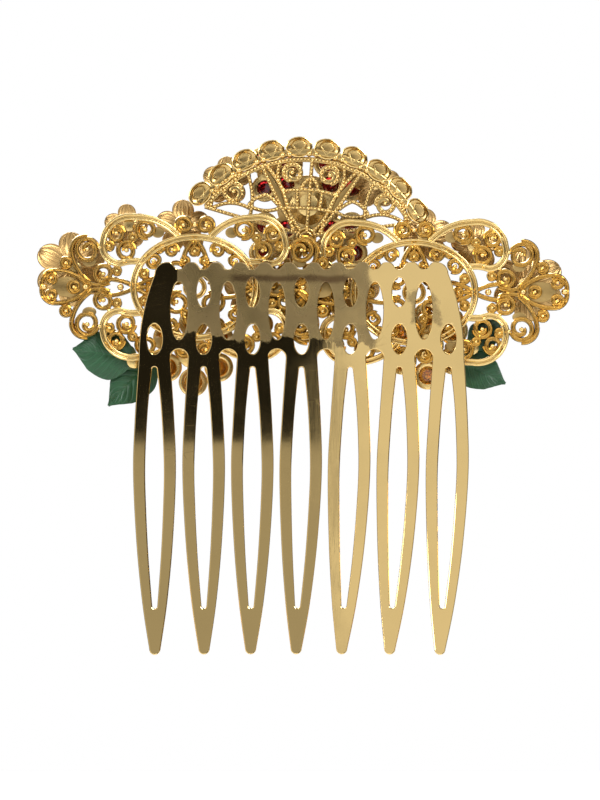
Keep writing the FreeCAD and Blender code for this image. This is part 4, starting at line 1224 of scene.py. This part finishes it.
class HAIRCOMB_OT_fan(bpy.types.Operator):
    """Build the half-round fan with grained ribs, domes and scrolls"""
    bl_idname = "hair_comb.fan"
    bl_label = "Filigree fan"

    def execute(self, context):
        sizes = settings().filigree
        depth = sizes.depth
        pitch = sizes.grain_pitch / MM
        strip = full_section(HALF_STRIP, HALF_FRONT)
        ridge = full_section(HALF_GROOVED, HALF_FRONT)
        arch = arc(polar(FAN_ARC, -FAN_HALF_ANGLE), (0, FAN_ARC),
                   polar(FAN_ARC, FAN_HALF_ANGLE), 80)
        rib_runs = flipped([arc(*rib) for rib in FAN_RIBS], True, False)
        rib_runs += [arc((0, FAN_BASE[0] + 1.5), (0, 17), (0, FAN_ARC)),
                     arc((-5.6, 17.7), (0, 18.5), (5.6, 17.7)),
                     arc((-5.0, 14.4), (0, 14.8), (5.0, 14.4))]
        scrolls, hearts = scroll_runs(FAN_SCROLLS, True, False)
        domes = []
        pairs = []
        ridges = []
        for index in range(DOME_COUNT):
            angle = (index - (DOME_COUNT - 1) / 2) * DOME_PITCH
            x, z = polar(DOME_CIRCLE, angle)
            domes.append((x, z, angle))
            out_x, out_z = polar(1.0, angle)
            fold = [(-1.35, 0.35), (0.0, -1.15), (1.35, 0.35)]
            ridges.append([(x + u * out_z + v * out_x, z - u * out_x + v * out_z)
                           for u, v in fold])
            lid = [(-1.35, 0.35), (-0.8, 1.0), (0.0, 1.25), (0.8, 1.0), (1.35, 0.35)]
            ridges.append([(x + u * out_z + v * out_x, z - u * out_x + v * out_z)
                           for u, v in lid])
            if index:
                for side in (-1, 1):
                    spot = polar(FAN_ARC + 1.15, angle - DOME_PITCH / 2 + side * 1.6)
                    pairs.append((spot[0], spot[1], 1.0))
        rim = arc(polar(FAN_ARC + 1.5, -FAN_HALF_ANGLE), (0, FAN_ARC + 1.5),
                  polar(FAN_ARC + 1.5, FAN_HALF_ANGLE), 80)
        base = circle(0, *FAN_BASE)
        parts = [
            wires("arch", [arch], False, 0.0011, depth, strip),
            wires("rim", [rim], False, 0.0015, depth * 0.9, strip),
            wires("ribs", rib_runs, False, 0.00078, depth, strip),
            wires("fan_scrolls", scrolls, False, sizes.wire_width, depth, strip),
            wires("folds", ridges, False, 0.00034, depth * 0.5, strip),
            wires("base_ring", [base], True, 0.0011, depth, ridge),
            sheet("leaves", [list(FAN_DIAMOND), [(-x, z) for x, z in FAN_DIAMOND]],
                  depth * 0.4, 0.0001),
        ]
        for vertex in parts[-1].data.vertices:
            vertex.co.z += depth * 0.35
        # recess mask for the painted shade and patina in the grooves of the fan
        for part in parts:
            mark_recess(part, 0.05, 0.5, depth)
        parts.append(dome_cups(domes, DOME_RADIUS * MM, depth * 0.85))
        # painted shade and patina inside the hollow domes, deepest at their crowns
        mark_recess(parts[-1], 0.05, 1.1, depth)
        small = along(arch, pitch)
        for run in rib_runs:
            small += along(run, pitch)
        for run in scrolls:
            small += along(run[:len(run) * 6 // 10], pitch)
        parts.append(grains("grains", small, sizes.grain_radius, depth * 0.21))
        parts.append(grains("pairs", pairs, 0.00064, depth * 0.42))
        parts.append(grains("hearts", hearts, sizes.bead_radius, depth * 0.4))
        piece = joined(parts, "filigree_fan_wires")
        piece.data.transform(Matrix.Rotation(math.radians(FAN_TILT), 4, "Z"))
        piece.data.transform(Matrix.Translation((FAN_FOOT_X * MM, FAN_FOOT * MM, 0.0)))
        lay_on_layer(piece, back_of_panel("filigree_fan"))
        smooth(piece, 60)
        material = gold_material("Fan gold", settings().finish.fan_gold, 0.17, 1.0, 0.4)
        finish_piece(piece, material, "fan_gold", "filigree_fan")
        return {"FINISHED"}


# ---- gold flowers --------------------------------------------------------------------------
def petal(radius, count):
    """One fluted petal along +Z with its root at the origin, rising towards -Y."""
    sizes = settings().flower
    half_step = math.sin(math.pi / count)
    lobe = radius * half_step / (1 + half_step) * 1.06
    reach = radius - lobe
    dish = radius * sizes.dish
    cells = 36
    choose()
    bpy.ops.mesh.primitive_grid_add(x_subdivisions=cells, y_subdivisions=18, size=2.0)
    piece = fresh()
    piece.name = "petal"
    piece.data.uv_layers[0].name = "petal"
    layer = piece.data.attributes.new("recess", "FLOAT", "POINT")
    for vertex, value in zip(piece.data.vertices, layer.data):
        across, share = vertex.co.x, (vertex.co.y + 1) / 2
        along_petal = radius * math.sin(share * math.pi / 2)
        if along_petal > reach:
            half = math.sqrt(max(0.0, lobe ** 2 - (along_petal - reach) ** 2))
        else:
            blend = along_petal / reach
            half = lobe * (0.30 + 0.70 * blend * blend * (3 - 2 * blend))
        half = max(half, radius * 0.02)
        x = across * half
        distance = math.hypot(x, along_petal)
        rise = dish - math.sqrt(dish ** 2 - min(distance, radius) ** 2)
        fold = math.cos(across * math.pi * sizes.flute_count / 2)
        flute = radius * 0.012 * fold * min(1.0, share * 1.6)
        cup = radius * 0.05 * (1 - across * across) * share * (1.2 - share)
        vertex.co = (x, -(rise - flute - cup) - radius * 0.02, along_petal)
        # recess: painted shade and patina in the flute grooves and towards the root under the cup
        value.value = max(0.0, -fold) * 0.7 + 0.3 * (1 - share)
    return piece


def claws(places, turn, radius, height, name):
    """Claws round stones: small bent fingers at places (centre, stone radius)."""
    choose()
    bpy.ops.mesh.primitive_uv_sphere_add(segments=10, ring_count=8, radius=radius)
    finger = fresh()
    finger.data.transform(Matrix.Diagonal((1.0, height / (2 * radius), 1.0, 1.0)))
    bpy.ops.object.shade_smooth()
    copies = []
    for centre, stone_radius, count, first in places:
        for index in range(count):
            angle = first + 2 * math.pi * index / count
            offset = Vector((stone_radius * math.cos(angle), 0.0, stone_radius * math.sin(angle)))
            twin = copy_of(finger, name)
            lean = Matrix.Rotation(-0.35, 4, Vector((-math.sin(angle), 0, math.cos(angle))))
            twin.data.transform(lean)
            twin.data.transform(Matrix.Translation(offset))
            twin.data.transform(Matrix.Translation(centre) @ Matrix.Rotation(turn, 4, "Z"))
            copies.append(twin)
    bpy.data.objects.remove(finger)
    return joined(copies, name)


PAVILION = 0.45              # depth of a stone's back, as a share of its radius
CROWN = 0.39
TABLE = 0.6
GIRDLE = 0.00015


def cut_stone(name, radius, sides=16):
    """Cut stone with its culet at the origin and its table towards -Y."""
    choose()
    bpy.ops.mesh.primitive_circle_add(vertices=sides, radius=radius * 0.999, fill_type="NOTHING",
                                      rotation=(math.pi / 2, 0, 0))
    piece = fresh()
    piece.name = name
    settle(piece)
    girdle = radius * PAVILION
    piece.data.transform(Matrix.Translation((0, -girdle, 0)))
    bpy.ops.object.mode_set(mode="EDIT")
    half_step = math.pi / sides
    levels = ((GIRDLE, 1.0, 0.0), (radius * CROWN * 0.45, 0.84, half_step),
              (radius * CROWN * 0.55, TABLE / 0.84, half_step))
    depth = -girdle
    bpy.ops.mesh.select_all(action="SELECT")
    for forward, scale, turn in levels:
        depth -= forward
        bpy.ops.mesh.extrude_region_move(TRANSFORM_OT_translate={"value": (0, -forward, 0)})
        bpy.ops.transform.resize(value=(scale, 1, scale), center_override=(0, depth, 0))
        if turn:
            bpy.ops.transform.rotate(value=turn, orient_axis="Y", center_override=(0, depth, 0))
    bpy.ops.mesh.edge_face_add()
    bpy.ops.object.mode_set(mode="OBJECT")
    for vertex in piece.data.vertices:
        vertex.select = abs(vertex.co.y + girdle) < 1e-7
    bpy.ops.object.mode_set(mode="EDIT")
    bpy.ops.mesh.select_mode(type="VERT")
    bpy.ops.mesh.extrude_region_move(TRANSFORM_OT_translate={"value": (0, girdle * 0.55, 0)})
    bpy.ops.transform.resize(value=(0.52, 1, 0.52), center_override=(0, -girdle * 0.45, 0))
    bpy.ops.transform.rotate(value=half_step, orient_axis="Y",
                             center_override=(0, -girdle * 0.45, 0))
    bpy.ops.mesh.extrude_region_move(TRANSFORM_OT_translate={"value": (0, girdle * 0.45, 0)})
    bpy.ops.mesh.merge(type="CENTER")
    bpy.ops.mesh.select_all(action="SELECT")
    bpy.ops.mesh.quads_convert_to_tris()
    bpy.ops.object.mode_set(mode="OBJECT")
    tidy_mesh(piece)
    return piece


def stone_depth(radius):
    return radius * (PAVILION + CROWN) + GIRDLE


def stones_for(node, name, material, slot):
    """Cut stones in the places of a CAD node's stones; returns their centres and radii."""
    turn = head_turn(centre_of(node))
    copies = []
    found = []
    for centre, height in loose_parts(node):
        radius = height / 2
        piece = cut_stone(name, radius)
        piece.data.transform(Matrix.Translation((0, stone_depth(radius) / 2, 0)))
        piece.data.transform(Matrix.Translation(centre) @ Matrix.Rotation(turn, 4, "Z"))
        copies.append(piece)
        found.append((centre, radius))
    piece = joined(copies, name)
    finish_piece(piece, material, slot, node)
    return found


class HAIRCOMB_OT_flowers(bpy.types.Operator):
    """Build the stamped flowers with their cups, claws and stones"""
    bl_idname = "hair_comb.flowers"
    bl_label = "Gold flowers"

    def execute(self, context):
        sizes = settings().flower
        finish = settings().finish
        crystal = crystal_material("Pale crystal", finish.pale_crystal)
        metal = gold_material("Setting gold", finish.filigree_gold, 0.22)
        for name in FLOWERS:
            _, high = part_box(name)
            heart = centre_of(name + "_stone")
            turn = head_turn(heart)
            radius = high.z - heart.z
            count = 6 if name.startswith("tip") else 5
            head = settings().plate.head_radius
            corners = [vertex.co for vertex in frame["nodes"][name].data.vertices]
            back = min(math.hypot(corner.x, head - corner.y) for corner in corners)
            pole = Vector((back * math.sin(turn), head - back * math.cos(turn), heart.z))
            first = petal(radius * 0.972, count)
            petals = []
            for index in range(count):
                twin = copy_of(first, "petal")
                lift = 0.00012 if index % 2 else 0.0
                twin.data.transform(Matrix.Rotation(2 * math.pi * index / count, 4, "Y"))
                twin.data.transform(Matrix.Translation((0, -lift, 0)))
                petals.append(twin)
            bpy.data.objects.remove(first)
            piece = joined(petals, name + "_petals")
            apply_modifier(piece, "SOLIDIFY", thickness=sizes.petal_thickness, offset=-1.0)
            piece.data.transform(seat(pole))
            tidy_mesh(piece, 1e-7)
            smooth(piece, 50)
            finish_piece(piece, petal_material(), "flower_gold", name)
            (centre, stone_radius), = stones_for(name + "_stone", name + "_gem", crystal,
                                                 "flower_crystal")
            cup = refined(name + "_cup", name + "_bezel", 0.00006)
            fingers = claws([(centre, stone_radius, 4, math.pi / 4)], turn, sizes.claw_radius,
                            stone_depth(stone_radius) * 0.95, name + "_claws")
            finish_piece(joined([cup, fingers], name + "_setting"), metal, "setting_metal",
                         name + "_cup")
        return {"FINISHED"}


# ---- crystal flowers -----------------------------------------------------------------------
def crystal_flower(prefix, suffix, groups, stone_material, slot):
    """Cluster setting with claws round every stone, its stones and its post."""
    finish = settings().finish
    metal = gold_material("Setting gold", finish.filigree_gold, 0.22)
    gallery_node = prefix + "_gallery" + suffix
    turn = head_turn(centre_of(gallery_node))
    held = []
    for group in groups:
        node = prefix + "_" + group + suffix
        for centre, radius in stones_for(node, node + "_cut", stone_material, slot):
            held.append((centre, radius, 4, math.pi / 4))
    body = refined(gallery_node, gallery_node + "_metal", 0.0001)
    radius = settings().flower.claw_radius
    fingers = claws(held, turn, radius, 0.0015, gallery_node + "_claws")
    finish_piece(joined([body, fingers], gallery_node + "_setting"), metal, "setting_metal",
                 gallery_node)
    post = refined(prefix + "_post" + suffix, prefix + "_stem" + suffix, 0.0001)
    finish_piece(post, metal, "post_gold", prefix + "_post" + suffix)


class HAIRCOMB_OT_rose(bpy.types.Operator):
    """Build the large red crystal flower"""
    bl_idname = "hair_comb.rose"
    bl_label = "Red crystal flower"

    def execute(self, context):
        material = crystal_material("Red crystal", settings().finish.red_crystal, 0.7)
        crystal_flower("rose", "", ("outer_stones", "inner_stones", "centre_stone"), material,
                       "red_crystal")
        return {"FINISHED"}


class HAIRCOMB_OT_amber(bpy.types.Operator):
    """Build the two amber crystal flowers"""
    bl_idname = "hair_comb.amber"
    bl_label = "Amber crystal flowers"

    def execute(self, context):
        material = crystal_material("Amber crystal", settings().finish.amber_crystal, 0.75)
        for side in SIDES:
            crystal_flower("amber", "_" + side, ("petal_stones", "centre_stone"), material,
                           "amber_crystal")
        return {"FINISHED"}


# ---- leaves --------------------------------------------------------------------------------
LEAF_HALVES = ((0.0, 0.05), (0.13, 0.24), (0.42, 0.5), (0.74, 0.36), (1.0, 0.0))
LEAF_CURL = 0.02
LEAF_THICKNESS = 0.0007


def leaf_half(share):
    """Half width of the leaf, as a share of its width, at a share of its length."""
    for (start, low), (end, high) in zip(LEAF_HALVES, LEAF_HALVES[1:]):
        if share <= end:
            step = (share - start) / (end - start)
            if high > low:
                eased = math.sin(step * math.pi / 2)
            elif end < 1.0:
                eased = 1 - math.cos(step * math.pi / 2)
            else:
                eased = step
            return low + (high - low) * eased
    return 0.0


class HAIRCOMB_OT_leaves(bpy.types.Operator):
    """Build the four enamelled leaves with raised veins"""
    bl_idname = "hair_comb.leaves"
    bl_label = "Leaves"

    def execute(self, context):
        material = leaf_material()
        for name in LEAVES:
            side = name.split("_")[1]
            flower = centre_of("amber_centre_stone_" + side)
            corners = [vertex.co for vertex in frame["nodes"][name].data.vertices]
            flat = [Vector((corner.x, corner.z)) for corner in corners]
            heart = Vector((flower.x, flower.z))
            tip = max(flat, key=lambda spot: (spot - heart).length)
            base = min(flat, key=lambda spot: (spot - heart).length)
            axis = (tip - base).normalized()
            normal = Vector((axis.y, -axis.x))
            half_width = max(abs((spot - base).dot(normal)) for spot in flat)
            length = (tip - base).length
            _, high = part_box(name)
            choose()
            bpy.ops.mesh.primitive_grid_add(x_subdivisions=24, y_subdivisions=40, size=2.0)
            piece = fresh()
            piece.name = name + "_blade"
            piece.data.uv_layers[0].name = "leaf"
            turn = head_turn(Vector((base.x, high.y, base.y)))
            root = min(corners, key=lambda spot: (Vector((spot.x, spot.z)) - base).length)
            for vertex in piece.data.vertices:
                across, share = vertex.co.x, (vertex.co.y + 1) / 2
                half = max(2 * half_width * leaf_half(share), 0.00002)
                x = across * half
                curl = LEAF_CURL - math.sqrt(LEAF_CURL ** 2 - x * x)
                vein = 0.00007 * math.sin((share - 0.28 * abs(across)) * 58)
                rib = 0.00016 * math.exp(-(across * half / 0.00035) ** 2)
                vein *= 1 - abs(across) ** 3
                place = base + axis * (share * length) + normal * x
                # the blade's own turn about the head is taken at its base
                run = (place - base).x
                y = root.y - curl + run * math.sin(turn) + vein - rib + 0.0001
                vertex.co = (base.x + run * math.cos(turn), y, place.y)
            apply_modifier(piece, "SOLIDIFY", thickness=LEAF_THICKNESS * 0.7, offset=0.0)
            apply_modifier(piece, "BEVEL", width=0.00015, segments=2, limit_method="ANGLE",
                           angle_limit=math.radians(60))
            tidy_mesh(piece, 1e-7)
            smooth(piece, 50)
            finish_piece(piece, material, "leaf_green", name)
        return {"FINISHED"}


class HAIRCOMB_OT_fixings(bpy.types.Operator):
    """Finish the posts, the leaf studs and the solder between the layers"""
    bl_idname = "hair_comb.fixings"
    bl_label = "Posts and solder"

    def execute(self, context):
        metal = gold_material("Setting gold", settings().finish.filigree_gold, 0.22)
        for node, slot in (("flower_posts", "post_gold"), ("leaf_studs", "post_gold")):
            piece = refined(node, node + "_turned", 0.0001)
            finish_piece(piece, metal, slot, node)
        solder = refined("solder_joints", "solder_run", 0.0)
        finish_piece(solder, solder_material(), "solder", "solder_joints")
        return {"FINISHED"}


# ---- stage ---------------------------------------------------------------------------------
def surroundings():
    """Soft studio surroundings: white backdrop, bright cards on a dim ground."""
    world = bpy.data.worlds.new("Studio")
    bpy.context.scene.world = world
    world.use_nodes = True
    tree = world.node_tree
    tree.nodes.clear()
    output = tree.nodes.new("ShaderNodeOutputWorld")
    coordinates = tree.nodes.new("ShaderNodeTexCoord")
    split = tree.nodes.new("ShaderNodeSeparateXYZ")
    tree.links.new(coordinates.outputs["Generated"], split.inputs[0])
    azimuth = math_node(tree, "MULTIPLY", math_node(
        tree, "ARCTAN2", split.outputs["X"], split.outputs["Y"]), 180 / math.pi)
    elevation = math_node(tree, "MULTIPLY", math_node(
        tree, "ARCSINE", split.outputs["Z"]), 180 / math.pi)
    cards = card_group()
    # west, east, low, high, softness, brightness
    light = None
    for west, east, low, high, softness, brightness in (
            (-181, 181, -91, 91, 0.5, 0.016),
            (1.9, 62, -40, 60, 0.5, 0.85),
            (-40, 2.2, 8.2, 48, 0.6, 0.42),
            (-150, -62, -30, 50, 12.0, 0.55),
            (100, 181, -20, 60, 10.0, 0.55),
            (-181, 181, 52, 91, 8.0, 0.9),
            (-181, 181, -91, -35, 8.0, 0.5)):
        card = use_group(tree, cards, None, West=west, East=east, Low=low, High=high,
                         Softness=softness)
        tree.links.new(azimuth, card.inputs["Azimuth"])
        tree.links.new(elevation, card.inputs["Elevation"])
        shine = math_node(tree, "MULTIPLY", card.outputs["Mask"], brightness)
        light = shine if light is None else math_node(tree, "ADD", light, shine)
    studio = tree.nodes.new("ShaderNodeBackground")
    tree.links.new(light, studio.inputs["Strength"])
    studio.inputs["Color"].default_value = (1.0, 0.985, 0.96, 1.0)
    backdrop = tree.nodes.new("ShaderNodeBackground")
    backdrop.inputs["Color"].default_value = (1.0, 1.0, 1.0, 1.0)
    path = tree.nodes.new("ShaderNodeLightPath")
    mix = tree.nodes.new("ShaderNodeMixShader")
    tree.links.new(path.outputs["Is Camera Ray"], mix.inputs[0])
    tree.links.new(studio.outputs[0], mix.inputs[1])
    tree.links.new(backdrop.outputs[0], mix.inputs[2])
    tree.links.new(mix.outputs[0], output.inputs["Surface"])


def area_light(name, place, target, size, power):
    bpy.ops.object.light_add(type="AREA", location=place)
    lamp = fresh()
    lamp.name = name
    lamp.data.size = size
    lamp.data.energy = power
    aim = Vector(target) - Vector(place)
    lamp.rotation_euler = aim.to_track_quat("-Z", "Y").to_euler()


class HAIRCOMB_OT_stage(bpy.types.Operator):
    """Set the floor, the surroundings, the lights and the camera"""
    bl_idname = "hair_comb.stage"
    bl_label = "Stage"

    def execute(self, context):
        stage = settings().stage
        low, _ = CAD_BOX
        choose()
        bpy.ops.mesh.primitive_plane_add(size=1.0, location=(0, 0.28, low[2] - stage.floor_drop))
        floor = fresh()
        floor.name = "floor"
        floor.data.transform(Matrix.Diagonal((1.4, 0.78, 1.0, 1.0)))
        settle(floor)
        floor.data.materials.append(floor_material())
        surroundings()
        target = (0.0, 0.0, 0.0)
        area_light("key_light", (-0.42, 0.62, 0.55), target, 0.35, 5.0)
        area_light("fill_light", (0.55, 0.50, 0.30), target, 0.30, 2.2)
        area_light("front_light", (0.15, -0.75, 0.45), target, 0.45, 5.0)
        choose()
        bpy.ops.object.camera_add(
            location=(0.0003, stage.camera_distance, stage.camera_height),
            rotation=(math.pi / 2, 0.0, math.pi))
        camera = fresh()
        camera.name = "camera"
        camera.data.lens = stage.lens
        camera.data.clip_start = 0.01
        context.scene.camera = camera
        context.scene.view_settings.view_transform = "Standard"
        return {"FINISHED"}


# ---- panel and registration -------------------------------------------------------------------
OPERATORS = (HAIRCOMB_OT_plate, HAIRCOMB_OT_panels, HAIRCOMB_OT_fan, HAIRCOMB_OT_flowers,
             HAIRCOMB_OT_rose, HAIRCOMB_OT_amber, HAIRCOMB_OT_leaves, HAIRCOMB_OT_fixings,
             HAIRCOMB_OT_stage)


class HAIRCOMB_PT_sidebar(bpy.types.Panel):
    """Buttons that build the comb piece by piece"""
    bl_idname = "HAIRCOMB_PT_sidebar"
    bl_label = "Hair comb"
    bl_space_type = "VIEW_3D"
    bl_region_type = "UI"
    bl_category = "Hair comb"

    def draw(self, context):
        for operator in OPERATORS:
            self.layout.operator(operator.bl_idname)


CLASSES = (CombPlateSettings, FiligreeSettings, FlowerSettings, FinishSettings, StageSettings,
           HairCombSettings) + OPERATORS + (HAIRCOMB_PT_sidebar,)


def register():
    for kind in CLASSES:
        bpy.utils.register_class(kind)
    bpy.types.Scene.hair_comb_settings = bpy.props.PointerProperty(type=HairCombSettings)


def unregister():
    del bpy.types.Scene.hair_comb_settings
    for kind in reversed(CLASSES):
        bpy.utils.unregister_class(kind)


def main():
    register()
    bpy.ops.hair_comb.plate()
    bpy.ops.hair_comb.panels()
    bpy.ops.hair_comb.fan()
    bpy.ops.hair_comb.flowers()
    bpy.ops.hair_comb.rose()
    bpy.ops.hair_comb.amber()
    bpy.ops.hair_comb.leaves()
    bpy.ops.hair_comb.fixings()
    bpy.ops.hair_comb.stage()


if __name__ == "__main__":
    main()
